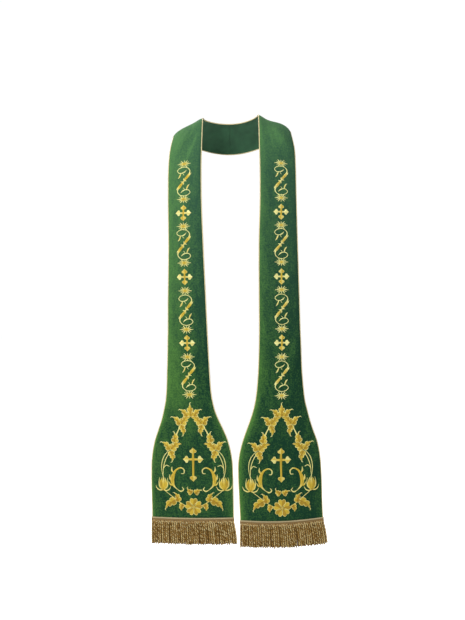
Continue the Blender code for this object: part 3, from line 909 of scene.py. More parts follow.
# painted light: raised ribs are lighter and the dips between them darker, by this much per metre
RIB_LIGHT = 1100
BRAID_FOOT = 0.0020
BRAID_HEIGHT = 0.0034
HeadingPoint = namedtuple("HeadingPoint", "from_top out rib tone")
HEADING_PROFILE = [
    HeadingPoint(-0.0018, 0.0002, 0.0, 0.2),
    HeadingPoint(-0.0018, 0.0010, 0.8, 0.6),
    HeadingPoint(-0.0012, 0.0018, 1.4, 0.8),
    HeadingPoint(-0.0004, 0.0023, 1.8, 0.8),
    HeadingPoint(0.0004, 0.0024, 1.8, 0.8),
    HeadingPoint(0.0012, 0.0021, 1.4, 0.6),
    HeadingPoint(0.0018, 0.0015, 0.6, 0.4),
    HeadingPoint(0.0024, 0.0011, 0.3, -0.8),
    HeadingPoint(0.0030, 0.0013, 0.8, -0.6),
    HeadingPoint(0.0040, 0.0016, 1.2, -0.4),
    HeadingPoint(0.0056, 0.0017, 1.5, -0.4),
    HeadingPoint(0.0070, 0.0016, 1.5, -0.2),
    HeadingPoint(0.0076, 0.0012, 1.0, -0.4),
    HeadingPoint(0.0084, 0.0016, 1.5, 0.4),
    HeadingPoint(0.0100, 0.0018, 1.6, 0.6),
    HeadingPoint(0.0116, 0.0017, 1.6, 0.5),
    HeadingPoint(0.0122, 0.0012, 0.8, -0.3),
    HeadingPoint(0.0120, 0.0002, 0.0, -0.8),
    HeadingPoint(0.0060, 0.0001, 0.0, -0.8),
]


print("the heading's outline has", len(HEADING_PROFILE), "points")


def add_heading(fringe, panel):
    """The tape across one panel's hem, a little wider than the cloth."""
    bottom = panel.length + HEADING_OVERHANG
    width = panel.width(panel.length)[0]
    edge = HEADING_OVERLAP / width
    columns = round((width + 2 * HEADING_OVERLAP) / RIB_PITCH) * RIB_COLUMNS + 1
    across = np.linspace(-edge, 1 + edge, columns)
    ribs = np.abs(np.sin(np.pi * np.arange(columns) / RIB_COLUMNS)) - 0.5
    from_top, out, rib, tone = np.array(HEADING_PROFILE).T
    along = bottom - HEADING_HEIGHT + from_top
    slant = np.where(from_top < BRAID_FOOT, (from_top + BRAID_FOOT) / BRAID_HEIGHT, 0.0)
    phase = np.arange(columns)[:, None] / RIB_COLUMNS + slant[None, :]
    twisted = np.abs(np.sin(np.pi * phase)) - 0.5
    rise = np.where(slant[None, :] > 0, twisted, ribs[:, None]) * rib[None, :] * RIB_HEIGHT
    height = WALL / 2 + SEAM_GAP + out[None, :] + rise
    points = panel.points(along[None, :], across[:, None], height)[0]
    u = np.linspace(0, 1, len(HEADING_PROFILE) + 1)
    uv = np.stack(np.broadcast_arrays(u[None, :], across[:, None] * width), axis=-1)
    # painted light and shade: the tops of the ribs and braid lighter, the dips between them darker
    tones = tone[None, :] + rise * RIB_LIGHT
    flip = panel.hang.sign > 0
    fringe.add(points, uv, tones, slot=1, around=True, capped=True, inside_out=not flip)


# %% [markdown]
# ## Where the strands hang
#
# Each strand starts on the heading and falls nearly straight, with its own length and lean. The
# outer ones spread, and here and there two neighbours lean apart, which leaves a narrow gap. Hair
# with gravity could do this too, but a path for each strand keeps it close to the plain solid.

# %% Where the strands hang
STRAND_ROOT = 0.003
STRAND_INSET = 0.0020
FIRST_GAP = (3, 8)
NEXT_GAP = (3, 10)
GAP_SHARES = (0.2, 1.0)
GAP_SPREAD = 1.4
LEAN_SCATTER = 0.0004
FORWARD_SCATTER = 0.0007
LENGTH_SCATTER = (-0.0022, 0.0020)
WAVE_HEIGHT = 0.00035
WAVE_TURNS = (4, 9)
WAVE_STARTS = (0, 6)
SWING = 0.6


def strand_paths(panel, count, middle, chance, rows, gap, shorter=0.0, rise=STRAND_ROOT):
    """The middle line of each strand in one layer. rise is how far above the heading's foot the
    strands start."""
    bottom = panel.length + HEADING_OVERHANG
    width = panel.width(panel.length)[0]
    edge = HEADING_OVERLAP / width
    inset = STRAND_INSET / width
    shares = np.linspace(-edge + inset, 1 + edge - inset, count)
    roots = panel.points(bottom - rise, shares, middle)[0]
    ends = panel.points(bottom, shares, middle)[0]
    pushed = np.zeros(count)
    place = chance.randint(*FIRST_GAP)
    while place < count - 3:
        reach = chance.uniform(*GAP_SHARES) * gap
        for i in range(count):
            away = i + 0.5 - place
            fade = math.exp(-((abs(away) - 0.5) / GAP_SPREAD))
            pushed[i] += math.copysign(reach * fade, away)
        place += chance.randint(*NEXT_GAP)
    paths = []
    for i, (share, root, end) in enumerate(zip(shares, roots, ends)):
        splay = panel.hang.inner_splay + (panel.hang.outer_splay - panel.hang.inner_splay) * share
        lean = panel.hang.sign * (splay + pushed[i]) + chance.uniform(-LEAN_SCATTER, LEAN_SCATTER)
        forward = chance.uniform(-FORWARD_SCATTER, FORWARD_SCATTER)
        length = STRAND_LENGTH - shorter + chance.uniform(*LENGTH_SCATTER)
        t = np.linspace(0, 1, rows)[:, None]
        fall = np.clip((t * (length + rise) - rise) / length, 0, 1)
        root_share = np.clip(t * (length + rise) / rise, 0, 1)
        phase = fall * chance.uniform(*WAVE_TURNS) + chance.uniform(*WAVE_STARTS)
        wave = WAVE_HEIGHT * np.sin(phase)
        swing = fall * np.exp(-SWING * fall) / math.exp(-SWING)
        path = root + (end - root) * root_share + swing * np.array([lean, forward, 0.0])
        path = path + fall * np.array([0.0, 0.0, -length]) + wave * fall * np.array([1.0, 0.6, 0.0])
        paths.append(path)
    return paths


# %% [markdown]
# ## Ropes and filling threads
#
# A bullion strand is a rope of two plies. Each ply is a tube whose path circles the rope's own, and
# its tone comes from how far out each point lies: painted shade darkens the groove between the
# plies, painted highlight lightens their outsides, and short stretches get painted glints. One
# tube with a twisted pattern would be cheaper, but its outline would be straight. The filling
# threads are seen only through gaps, so they are plain tubes, painted almost black as shade.

# %% Ropes and filling threads
PLY_RADIUS = 0.00118
PLY_OFFSET = 0.00100
PLY_TONE = 0.35
TWIST_LENGTH = 0.0108
FRONT_ROOT = 0.0068
ROOT_LIGHTER = 0.20
ROOT_SHARE = 0.4
STRAND_TIP = 0.0032
TIP_SHARE = 0.06
GLINT_ROWS = 3
# painted glints, and some darker flecks, on short stretches of a ply
GLINTS = (-0.8, -0.35, 0.0, 0.3, 1.2)
# painted shade in the groove between the plies, and painted highlight on their outsides
GROOVE_AT = (0.1, 0.6, 0.8, 1.0)
GROOVE_TONE = (-1.6, -1.2, -0.1, 0.6)
FILLING_RADIUS = 0.0015
FILLING_SIDES = 4
# painted almost black, as the shade behind the front ropes
FILLING_SHADE_TONE = -0.9


def add_twisted_strand(fringe, path, chance, tone, sides):
    """Two plies wound round each other, painted light on the outside and dark, as shade, in the groove
    between them. Short stretches of a ply get painted glints, and some are painted darker."""
    gone = np.concatenate([[0.0], np.cumsum(np.linalg.norm(np.diff(path, axis=0), axis=1))])
    angle = 2 * np.pi * gone / TWIST_LENGTH + chance.uniform(0, 2 * np.pi)
    left = np.clip((gone[-1] - gone) / STRAND_TIP, TIP_SHARE, 1.0)
    start = np.interp(gone, (0.0, STRAND_ROOT), (ROOT_SHARE, 1.0))
    root_light = np.interp(gone, (FRONT_ROOT, 2 * FRONT_ROOT), (ROOT_LIGHTER, 0.0))[:, None]
    thick = start * np.sqrt(1 - (1 - left) ** 2)
    for turn, lighter in ((0.0, PLY_TONE), (np.pi, -PLY_TONE)):
        offset = np.stack([np.cos(angle + turn), np.sin(angle + turn), 0 * angle], axis=1)
        ply = path + offset * (PLY_OFFSET * start * left)[:, None]
        points, uv = tube(ply, PLY_RADIUS * thick, sides, start=-(angle + turn)[:, None])
        outness = np.linalg.norm(points - path[:, None], axis=2) / (PLY_OFFSET + PLY_RADIUS)
        # painted shade in the groove and painted highlight outside, from how far out each point lies
        shade = np.interp(outness, GROOVE_AT, GROOVE_TONE)
        stretches = [chance.choice(GLINTS) for _ in range(len(path) // GLINT_ROWS + 1)]
        glint = np.repeat(stretches, GLINT_ROWS)[: len(path), None]
        tones = tone + lighter + shade + glint + root_light
        fringe.add(points, uv, tones, around=True, capped=True, inside_out=True)


def add_filling_strand(fringe, path):
    """One thread behind the front ropes, painted almost black as the shade between them."""
    points, uv = tube(path, FILLING_RADIUS, FILLING_SIDES)
    fringe.add(points, uv, FILLING_SHADE_TONE, around=True, capped=True, inside_out=True)


# %% [markdown]
# ## Three layers of strands
#
# A fringe is deep, so three layers hang one behind another: the front ropes, whose tops lie on the
# heading, then close threads that fill the gaps, painted almost black as shade, and rear ropes that
# show from behind, painted a little darker. A single layer would let the light through, and a solid
# block behind it would look like card.

# %% Three layers of strands
FRONT_STRANDS = 40
FILLING_STRANDS = 104
REAR_STRANDS = 37
STRAND_ROWS = 76
FILLING_ROWS = 26
REAR_ROWS = 56
FRONT_SIDES = 6
REAR_SIDES = 5
FRONT_TONES = (-0.35, 0.35)
# the rear ropes are painted a little darker, as shade
REAR_TONES = (-0.5, 0.1)
FRONT_GAP = 0.0019
REAR_GAP = 0.0004
FILLING_SHORTER = 0.0024
BEHIND = np.array([0.0, 0.0048, 0.0])
FRONT_PLACE = ((0, 0.05, 0.12, 0.3), (-0.10, -0.24, -0.26, -0.14))
FILLING_PLACE = ((0, 1), (0.2, 0.28))
REAR_PLACE = ((0, 0.15, 1), (0.3, 0.85, 1.0))
FRINGE_SEED = 21


def moved_back(rows, place):
    """How far each row of a strand lies behind the heading's middle. place gives it in shares of
    BEHIND at some shares of the strand's length."""
    return BEHIND * np.interp(np.linspace(0, 1, rows), *place)[:, None]


def build_fringe(side):
    """One panel's heading and its three layers of strands."""
    panel = PANELS[side]
    chance = random.Random(FRINGE_SEED + panel.hang.sign)
    middle = WALL / 2 + SEAM_GAP + HEADING_THICKNESS / 2
    fringe = Grids()
    add_heading(fringe, panel)
    front = strand_paths(
        panel, FRONT_STRANDS, middle, chance, STRAND_ROWS, FRONT_GAP, rise=FRONT_ROOT
    )
    forward = moved_back(STRAND_ROWS, FRONT_PLACE)
    for path in front:
        add_twisted_strand(fringe, path + forward, chance, chance.uniform(*FRONT_TONES), FRONT_SIDES)
    filling = strand_paths(
        panel, FILLING_STRANDS, middle, chance, FILLING_ROWS, 0.0, shorter=FILLING_SHORTER
    )
    between = moved_back(FILLING_ROWS, FILLING_PLACE)
    for path in filling:
        add_filling_strand(fringe, path + between)
    rear = strand_paths(panel, REAR_STRANDS, middle, chance, REAR_ROWS, REAR_GAP)
    backward = moved_back(REAR_ROWS, REAR_PLACE)
    for path in rear:
        add_twisted_strand(fringe, path + backward, chance, chance.uniform(*REAR_TONES), REAR_SIDES)
    piece = fringe.make("bullion_fringe_" + side, [FRINGE_GOLD, FRINGE_TAPE])
    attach(piece, "root")
    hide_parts("fringe_" + side)
    print(piece.name, len(piece.data.polygons), "faces")
    return piece


FRINGES = {side: build_fringe(side) for side in HANGS}

# %% [markdown]
# ## Embroidery, stitch by stitch
#
# Machine embroidery is satin stitch: threads laid side by side across a narrow shape, so that it
# stands up as a soft ridge. Here each such shape is a strip between two edges, raised in its middle
# and bent onto the cloth. A drawing is in millimetres, x to the right and y down the panel, and
# it's a list of strips. The threads' lines come from the strip's own measures. A picture of the
# embroidery would look flat wherever light grazes it, and raised strips don't.


# %% Strips of satin stitch
Strip = namedtuple("Strip", "edge_1 edge_2 height tone half")


def curve_through(points, count):
    """A smooth curve through a few points."""
    points = np.array(points, float)
    knots = np.concatenate([[0.0], np.cumsum(np.linalg.norm(np.diff(points, axis=0), axis=1))])
    return smooth_curve(knots, points, np.linspace(0, knots[-1], count))


def across_of(path):
    """Directions in the drawing at right angles to a path."""
    run = np.gradient(path, axis=0)
    run /= np.linalg.norm(run, axis=1)[:, None]
    return np.stack([-run[:, 1], run[:, 0]], axis=1)


def stroke(points, widths, height=0.6, tone=0.0, count=24):
    """A strip along a path, with its widths, and if wanted its tones, given at even shares of it."""
    path = curve_through(points, count)
    share = np.linspace(0, len(widths) - 1, count)
    half = np.interp(share, np.arange(len(widths)), widths)[:, None] / 2
    aside = across_of(path) * half
    if not np.isscalar(tone):
        tone = np.interp(share, np.linspace(0, len(widths) - 1, len(tone)), tone)[:, None]
    return Strip(path - aside, path + aside, height, tone, False)


def half_shape(spine, edge, height, tone):
    """One side of a shape that is stitched in two halves: high at the spine, down at the edge."""
    return Strip(spine, edge, height, tone, True)


def placed(strips, x=0.0, y=0.0, turn=0.0, size=1.0, mirrored=False):
    """A drawing moved to (x, y), turned clockwise in degrees, resized and mirrored."""
    angle = math.radians(turn)
    flip = -1.0 if mirrored else 1.0
    turned = [[math.cos(angle), math.sin(angle)], [-math.sin(angle), math.cos(angle)]]
    matrix = np.diag([flip, 1.0]) @ (size * np.array(turned))
    moved = []
    for strip in strips:
        edges = [edge @ matrix + np.array([x, y]) for edge in (strip.edge_1, strip.edge_2)]
        moved.append(Strip(*edges, strip.height, strip.tone, strip.half))
    return moved


# %% [markdown]
# ## Small motifs
#
# The column down each panel repeats three traditional ones: a star of many rays, a cross with
# trefoil ends, and a scroll like an S with leaves on its stem. Each could be modelled by hand as a
# small solid. A few points for each stroke are enough here, because thread can't turn sharply.


# %% Small motifs
STAR_RAYS = 12
LONG_RAY = ((19.5, 12.0), 3.1)
SHORT_RAY = ((15.5, 11.0), 2.5)


def star():
    """Rays from a small knot, long and short in turn, and longer to the sides than up and down."""
    rays = []
    for i in range(STAR_RAYS):
        angle = 2 * math.pi * i / STAR_RAYS
        reach, breadth = LONG_RAY if i % 2 == 0 else SHORT_RAY
        end = np.array(reach) * (math.cos(angle), math.sin(angle))
        rays.append(stroke([end * 0.05, end * 0.6, end], (1.5, breadth, 0.9), 0.7, (-0.3, 0.6, 1.0), 9))
    rays.append(stroke([(-5.2, 0), (0, 0.2), (5.2, 0)], (1.6, 5.4, 1.6), 1.0, -0.5, 8))
    return rays


TREFOIL = ((0, 1.0), (2.6, -0.6), (8.0, -4.4), (3.6, -8.4), (0, -13.5))
TREFOIL_LENGTH = 13.5


def cross(up=23.0, down=23.0, aside=23.0, bulb=1.0, contrast=0.45):
    """Four arms that end in trefoils. The threads of the side arms run up and down and those of the
    upright ones across, so the side arms are painted lighter and the upright ones deeper, as sheen.
    One half of each trefoil is painted lighter than the other."""
    strips = []
    for turn, reach in ((0, up), (90, aside), (180, down), (270, aside)):
        neck = reach - TREFOIL_LENGTH * bulb
        light = 0.2 + (contrast if turn in (90, 270) else -contrast)
        stem = [(0, -1.0), (0, -neck)]
        arm = [stroke(stem, (5.6 * bulb, 4.6 * bulb), 0.7, (light - 0.4, light * 0.8), 10)]
        for side in (-1, 1):
            edge = curve_through([(side * x * bulb, y * bulb - neck) for x, y in TREFOIL], 18)
            spine = curve_through([(0, bulb - neck), (0, -neck - 6 * bulb), (0, -reach)], 18)
            arm.append(half_shape(spine, edge, 0.75, light + (0.35 if side < 0 else -0.2)))
            arm.append(stroke(edge[::3], (0.8, 1.6, 1.6, 1.6, 0.8), 0.8, 0.5 + light, 18))
        strips += placed(arm, turn=turn)
    knot = [(-3.8 * bulb, 0), (0, 0), (3.8 * bulb, 0)]
    strips.append(stroke(knot, (1.0, 6.0 * bulb, 1.0), 1.0, -0.4, 10))
    return strips


SCROLL_SHAPE = (0.88, 1.0)


def scroll():
    """Half of an S, and the same half turned round. A leaf swells its stem next to the middle, and
    the rest is a thin pale line that curls back into the loop."""
    stem = [(0, 0), (5.5, -6.5), (12, -13), (18.5, -21), (20, -30), (12.5, -38.5), (-2, -42), (-16, -38.5)]
    loop = [(-16, -38.5), (-21.5, -32), (-17, -26), (-6, -24.5), (4, -28), (9.5, -33)]
    sprig = [(-9, -25), (-11, -20), (-14, -14), (-19.0, -9)]
    widths = (2.8, 7.4, 9.2, 3.2, 2.2, 2.1, 2.1, 2.1)
    tones = (0.5, -0.2, 0.0, 0.7, 1.0, 1.0, 1.0, 1.0)
    half = [
        stroke(stem, widths, 0.8, tones, 40),
        stroke([(3, -4), (10.5, -12), (16.5, -20)], (0.9, 1.6, 0.7), 2.1, -0.7, 14),
        stroke(loop, (2.1, 2.1, 2.1, 2.2, 3.6, 0.9), 0.7, (1.0, 1.0, 1.0, 0.8), 30),
        stroke(sprig, (1.2, 4.4, 4.4, 0.8), 0.7, (0.8, 0.1, 0.9), 16),
        stroke([(-3, -24), (-1, -20), (2, -18)], (1.2, 1.7, 0.7), 0.5, 0.9, 8),
        stroke([(0, 0), (5.0, -1.6), (10.0, -0.2)], (2.4, 3.6, 0.8), 0.8, (0.2, 0.9), 10),
        stroke([(1, -1), (0.2, -5.4), (1.0, -10.0)], (2.4, 3.2, 0.8), 0.8, (0.2, 0.9), 10),
        stroke([(15, -17), (20.5, -18.5), (24, -24)], (1.6, 3.2, 0.7), 0.75, (0.2, 1.0), 12),
    ]
    half = [Strip(one.edge_1 * SCROLL_SHAPE, one.edge_2 * SCROLL_SHAPE, *one[2:]) for one in half]
    return half + placed(half, turn=180)


print("strips in a star, a cross and a scroll:", len(star()), len(cross()), len(scroll()))

# %% [markdown]
# ## Leaves
#
# The wide end of a stole takes a large motif, and most of it is leaves. A leaf is two halves of satin
# stitch that meet at a vein, with lobed edges and a pale outline. Each leaf could be drawn for
# itself. One table of its edge, in shares of its length and half its breadth, serves them all.

# %% Leaves
LeafEdge = namedtuple("LeafEdge", "along reach")
LOBED = [
    LeafEdge(0.00, 0.00),
    LeafEdge(0.02, 0.44),
    LeafEdge(0.10, 0.90),
    LeafEdge(0.22, 1.06),
    LeafEdge(0.34, 0.94),
    LeafEdge(0.39, 0.66),
    LeafEdge(0.375, 0.40),
    LeafEdge(0.45, 0.64),
    LeafEdge(0.56, 0.80),
    LeafEdge(0.66, 0.68),
    LeafEdge(0.69, 0.44),
    LeafEdge(0.67, 0.26),
    LeafEdge(0.78, 0.26),
    LeafEdge(0.90, 0.15),
    LeafEdge(1.00, 0.00),
]
LEAF_ROWS = 52


def leaf(length=28.0, breadth=19.0, bend=4.0, curl=4.0):
    """A lobed leaf that points up from the origin and bends to its right. One half is painted lighter
    than the other, as sheen, because its threads slant the other way."""
    turns = [(0, 0), (bend * 0.05, -length * 0.4), (bend * 0.35, -length * 0.75), (bend * 1.5, -length)]
    vein = curve_through(turns, LEAF_ROWS)
    share, reach = curve_through(LOBED, LEAF_ROWS).T
    even = np.linspace(0, 1, LEAF_ROWS)
    base = np.stack([np.interp(share, even, column) for column in vein.T], axis=1)
    aside = np.stack([np.interp(share, even, column) for column in across_of(vein).T], axis=1)
    strips = []
    for side in (-1, 1):
        edge = base + side * aside * (np.maximum(reach, 0) * breadth / 2)[:, None]
        strips.append(half_shape(vein, edge, 0.8, 0.10 if side < 0 else -0.42))
        strips.append(stroke(edge[::2], (0.9, 1.6, 1.6, 1.6, 1.4, 0.8), 1.0, 0.85, LEAF_ROWS))
        for start, lobe in ((6, 0.32), (20, 0.26)):
            tip = vein[start + 8] + side * across_of(vein)[start + 8] * breadth * lobe
            rib = [vein[start], (vein[start] + tip) / 2, tip]
            strips.append(stroke(rib, (1.2, 1.1, 0.6), 2.3, -0.9, 8))
    strips.append(stroke(vein[2:42:8], (2.4, 2.2, 1.8, 1.4, 0.8), 1.5, -1.0, 16))
    if curl:
        tip = vein[-1]
        way = tip - vein[-6]
        way /= np.linalg.norm(way)
        aside_way = np.array([-way[1], way[0]]) * (1 if bend >= 0 else -1)
        hook = [tip - 3 * way, tip + 0.6 * curl * way, tip + curl * way + 0.7 * curl * aside_way]
        strips.append(stroke(hook, (2.6, 2.2, 0.9), 0.8, 1.0, 12))
    return strips


print("strips in a leaf:", len(leaf()))

# %% [markdown]
# ## Buds, flowers and curls
#
# A bud is three petals in a cup of sepals, an open flower is one petal repeated five times, and a
# curl is a swelling stem with leaves along its back. They're made like the leaves, because a
# machine sews them with the same few kinds of stitch.


# %% Buds, flowers and curls
def bud():
    """A closed flower: three petals in a cup of pointed sepals."""
    strips = [
        # one side petal is painted lighter than the other, as sheen
        stroke([(-3.5, 0), (-8.0, -13), (-4.0, -31)], (4.0, 8.6, 1.0), 0.85, (0.1, 0.3, 0.9), 24),
        stroke([(3.5, 0), (8.0, -13), (4.0, -31)], (4.0, 8.6, 1.0), 0.85, (-0.4, -0.5, 0.5), 24),
        stroke([(0, 1), (0, -13), (0, -35)], (6.0, 10.5, 1.0), 1.0, (-0.3, 0.2, 0.9), 24),
        stroke([(-4.2, -4), (-4.6, -14), (-1.6, -26)], (0.8, 1.2, 0.6), 1.3, -0.9, 12),
        stroke([(4.2, -4), (4.6, -14), (1.6, -26)], (0.8, 1.2, 0.6), 1.3, -0.9, 12),
        stroke([(-2.5, 1), (0, 3.0), (2.5, 1)], (1.2, 4.6, 1.2), 0.9, -0.5, 10),
    ]
    for side in (-1, 1):
        inner = [(side * 3.5, 1), (side * 10.5, -5), (side * 13, -18), (side * 11.0, -31)]
        outer = [(0, 2.5), (side * 8.5, 5.0), (side * 17.5, 1), (side * 22, -8)]
        strips.append(stroke(inner, (4.0, 3.6, 2.4, 0.9), 0.8, (0.4, 1.0, 1.0), 22))
        strips.append(stroke(outer, (4.0, 3.8, 2.6, 0.9), 0.75, (0.5, 1.0, 1.0), 22))
    strips.append(stroke([(1.0, -33), (2.0, -40), (0.4, -47)], (2.4, 2.2, 0.9), 0.75, 1.0, 12))
    return strips


def five_petals(reach=23.5):
    """An open flower: each petal is two halves, notched at the tip."""
    strips = []
    outline = [(0, -2), (3.6, -7), (reach * 0.43, -reach * 0.66)]
    outline += [(reach * 0.25, -reach), (0, -reach * 0.84)]
    for turn in range(0, 360, 72):
        petal = []
        for side in (-1, 1):
            edge = curve_through([(side * x, y) for x, y in outline], 22)
            spine = curve_through([(0, -2), (0, -reach * 0.5), (0, -reach * 0.84)], 22)
            # one half of each petal is painted lighter than the other, as sheen
            petal.append(half_shape(spine, edge, 0.85, 0.15 if side < 0 else -0.4))
            petal.append(stroke(edge[::3], (1.0, 1.7, 1.7, 1.7, 1.0), 1.0, 0.85, 22))
        petal.append(stroke([(0, -3), (0, -reach * 0.62)], (2.6, 1.0), 1.6, -1.0, 10))
        strips += placed(petal, turn=turn)
    seed = stroke([(0, -0.6), (0, -2.2), (0, -4.2)], (1.6, 2.8, 1.6), 1.3, 0.6, 8)
    for turn in range(0, 360, 60):
        strips += placed([seed], turn=turn)
    strips.append(stroke([(-1.6, 0), (0, 0), (1.6, 0)], (1.4, 3.0, 1.4), 1.5, -0.8, 8))
    return strips


def curl_scroll():
    """A scroll like a bracket, with leaves along its back."""
    spine = [(2, 34), (11, 25), (15, 12), (12, -4), (4, -16)]
    spine += [(-8, -20), (-15, -14), (-13, -6), (-7, -6)]
    widths = (1.2, 4.6, 9.6, 10.4, 6.4, 4.0, 3.2, 3.0, 1.4)
    tones = (0.9, 0.2, -0.1, -0.2, 0.1, 0.7, 1.0)
    return [
        stroke(spine, widths, 0.85, tones, 46),
        stroke([(7, 29), (14, 18), (14.5, 4), (9, -10)], (0.8, 1.6, 1.6, 0.8), 1.2, -0.9, 26),
        stroke([(2, 34), (-7, 38), (-13, 33), (-9, 27.5)], (1.4, 3.4, 3.0, 1.2), 0.75, (0.9, 1.0), 18),
        stroke([(14, 14), (20.5, 7), (21.5, -4)], (2.0, 5.0, 0.8), 0.8, (0.0, 0.9), 16),
        stroke([(10, -6), (16.0, -13), (16, -23)], (2.0, 5.0, 0.8), 0.8, (0.0, 0.9), 16),
        stroke([(11, 24), (19, 22), (24, 14)], (2.0, 4.4, 0.8), 0.75, (0.0, 0.9), 16),
    ]


print("strips in a bud, a flower and a curl:", len(bud()), len(five_petals()), len(curl_scroll()))

# %% [markdown]
# ## The motif of a wide end
#
# A cross stands between two scrolls in a wreath. The wreath's two branches leave a flower above the
# fringe, widen towards the edges with a bud on each, and close in a point under the last star. Only
# the right-hand branch is drawn, because the other is its mirror image.

# %% The motif of a wide end
Leaf = namedtuple("Leaf", "x y turn length breadth bend curl")
BRANCH_LEAVES = [
    Leaf(8, 40, 34, 27, 17, 4, 4),
    Leaf(31, 62, 30, 28, 17, 5, 5),
    Leaf(29, 61, -42, 33, 21, -5, 0),
    Leaf(30, 63, 204, 27, 17, -5, 4),
    Leaf(51, 112, -14, 27, 19, 4, 4),
    Leaf(64, 132, 34, 30, 18, 5, 5),
    Leaf(62, 131, -50, 34, 21, -5, 0),
    Leaf(64, 135, 204, 28, 18, -5, 4),
    Leaf(50, 270, 118, 38, 21, 6, 4),
    Leaf(42, 275, 12, 25, 17, 4, 4),
    Leaf(31, 281, 158, 19, 14, 3, 0),
]
STEMS = [
    [(12, 290), (32, 281), (56, 264), (80, 246)],
    [(87, 200), (89, 176), (83, 152), (68, 133)],
    [(85, 200), (83, 178), (76, 156), (64, 136)],
    [(63, 130), (58, 118), (50, 100), (33, 66)],
    [(52, 108), (44, 92), (36, 74), (29, 62)],
    [(29, 58), (20, 46), (10, 36), (3, 29)],
    [(84, 184), (76, 175), (67, 178)],
]


def branch():
    """The right-hand branch. y = 0 at the wreath's top."""
    strips = [stroke(path, (1.5, 2.3, 2.3, 1.5), 0.65, (0.7, 0.95), 28) for path in STEMS]
    strips += placed(bud(), 85.5, 240, turn=-3)
    for one in BRANCH_LEAVES:
        strips += placed(leaf(one.length, one.breadth, one.bend, one.curl), one.x, one.y, one.turn)
    return strips


def wide_end():
    """The whole motif, with the wreath's top at y = 0."""
    strips = branch() + placed(branch(), mirrored=True)
    strips += placed(five_petals(), 0, 289)
    strips += placed(leaf(34, 21, 0, 5), 0, 40)
    strips += placed(cross(33.0, 62.0, 29.0, 1.2, 0.2), 0, 158)
    for way, mirrored in ((1, False), (-1, True)):
        strips += placed(curl_scroll(), 42 * way, 204, size=1.12, mirrored=mirrored)
        strips += placed(leaf(18, 15, 2, 4), 4 * way, 252, turn=52 * way)
    return strips


print(len(wide_end()), "strips in the motif of a wide end")

# %% [markdown]
# ## Where the motifs go
#
# The tables give each motif's distance from the nape and the middle line that the column follows,
# which wanders a little across each panel. A drawing's x is measured from that line. Even steps along
# a straight line would be simpler, but hand-guided sewing isn't so even. paler says how much paler
# than drawn the column's threads are coloured; on the right panel, which gets less light, most of
# it is painted light.

# %% Where the motifs go
EMBROIDERY_COLOURS = ((0.320, 0.165, 0.010, 1.0), (0.710, 0.505, 0.040, 1.0), (0.970, 0.960, 0.400, 1.0))
EMBROIDERY_GOLD = make_thread_material(
    "gold satin stitch", EMBROIDERY_COLOURS, 0.00042, 1.0, 0.0003, 0.1, 0.42
)
Column = namedtuple("Column", "stars crosses wreath line paler")
COLUMNS = {
    "left": Column(
        (0.3284, 0.4313, 0.5079, 0.6101, 0.6874, 0.7941, 0.8699, 0.9736),
        (0.4704, 0.6491, 0.8316),
        0.9939,
        ((0.32, 0.500), (0.43, 0.515), (0.52, 0.545), (0.61, 0.540))
        + ((0.80, 0.508), (0.97, 0.468), (1.31, 0.478)),
        0.10,
    ),
    "right": Column(
        (0.3441, 0.4452, 0.5226, 0.6260, 0.7027, 0.8107, 0.8881, 0.9946),
        (0.4851, 0.6659, 0.8490),
        1.0122,
        ((0.34, 0.570), (0.45, 0.560), (0.63, 0.555), (0.81, 0.535), (0.99, 0.512), (1.33, 0.498)),
        0.35,
    ),
}
for side, column in COLUMNS.items():
    print(side, "column:", len(column.stars), "stars and", len(column.crosses), "crosses")

# %% [markdown]
# ## Sewing the motifs on
#
# Every strip becomes a low ridge on the cloth. A Shrinkwrap modifier could lay flat drawings on it.
# Here the cloth's own formula places each point, so that a ridge stands straight up from the pile and
# follows each crease. The wreath's threads are coloured a little deeper than drawn, and the motifs
# near the hem are painted deeper still, as shade, because they catch less light.

# %% Sewing the motifs on
STRIP_COLUMNS = 6
LOW_MOTIFS = 225.0
WREATH_PALER = -0.05
# painted shade on the motifs near the hem
LOW_PAINTED_SHADE = -0.30
SUNK = 0.0002
MILLIMETRES = 1000
FULL_HEIGHT_WIDTH = 2.0  # a strip narrower than this, in mm, is lower
LEAST_HEIGHT = 0.45
SLANT_WIDTH = 4  # the threads lean by one stitch in this width, in mm


def how_pale(column, along, strip):
    """What is added to the tones of one strip of a motif."""
    if along < column.wreath:
        return column.paler
    return LOW_PAINTED_SHADE if strip.edge_1[:, 1].mean() > LOW_MOTIFS else WREATH_PALER


def sew(stitches, panel, column, strip, along, paler):
    """A strip of the drawing bent onto the cloth, with its middle raised. The drawing's origin is
    at along."""
    share = np.linspace(0, 1, STRIP_COLUMNS + 1)[None, :, None]
    drawn = strip.edge_1[:, None] * (1 - share) + strip.edge_2[:, None] * share
    from_ridge = share[..., 0] if strip.half else 2 * share[..., 0] - 1
    dome = np.sqrt(np.clip(1 - np.abs(from_ridge) ** (3 if strip.half else 2), 0, 1))
    widths = np.linalg.norm(strip.edge_2 - strip.edge_1, axis=1)[:, None]
    lower = np.clip(widths / FULL_HEIGHT_WIDTH, LEAST_HEIGHT, 1.0)
    high = (SUNK + strip.height / MILLIMETRES * lower) * dome
    places = along + drawn[..., 1] / MILLIMETRES
    line = np.interp(places, *np.array(column.line).T)
    width = panel.width(places.ravel()).reshape(places.shape)
    across = line + panel.hang.sign * drawn[..., 0] / MILLIMETRES / width
    points, _, _, outward = panel.points(places, across, WALL / 2 - SUNK + high)
    run = np.linalg.norm(np.diff(points.mean(axis=1), axis=0), axis=1)
    gone = np.concatenate([[0.0], np.cumsum(run)])[:, None]
    uv = np.stack(np.broadcast_arrays(share[..., 0] * widths / SLANT_WIDTH, gone), axis=-1)
    facing = np.cross(points[1:, 0] - points[:-1, 0], points[:-1, -1] - points[:-1, 0])
    inward = float((facing * outward[:-1, 0]).sum()) < 0
    stitches.add(points, uv, strip.tone + paler, inside_out=inward)


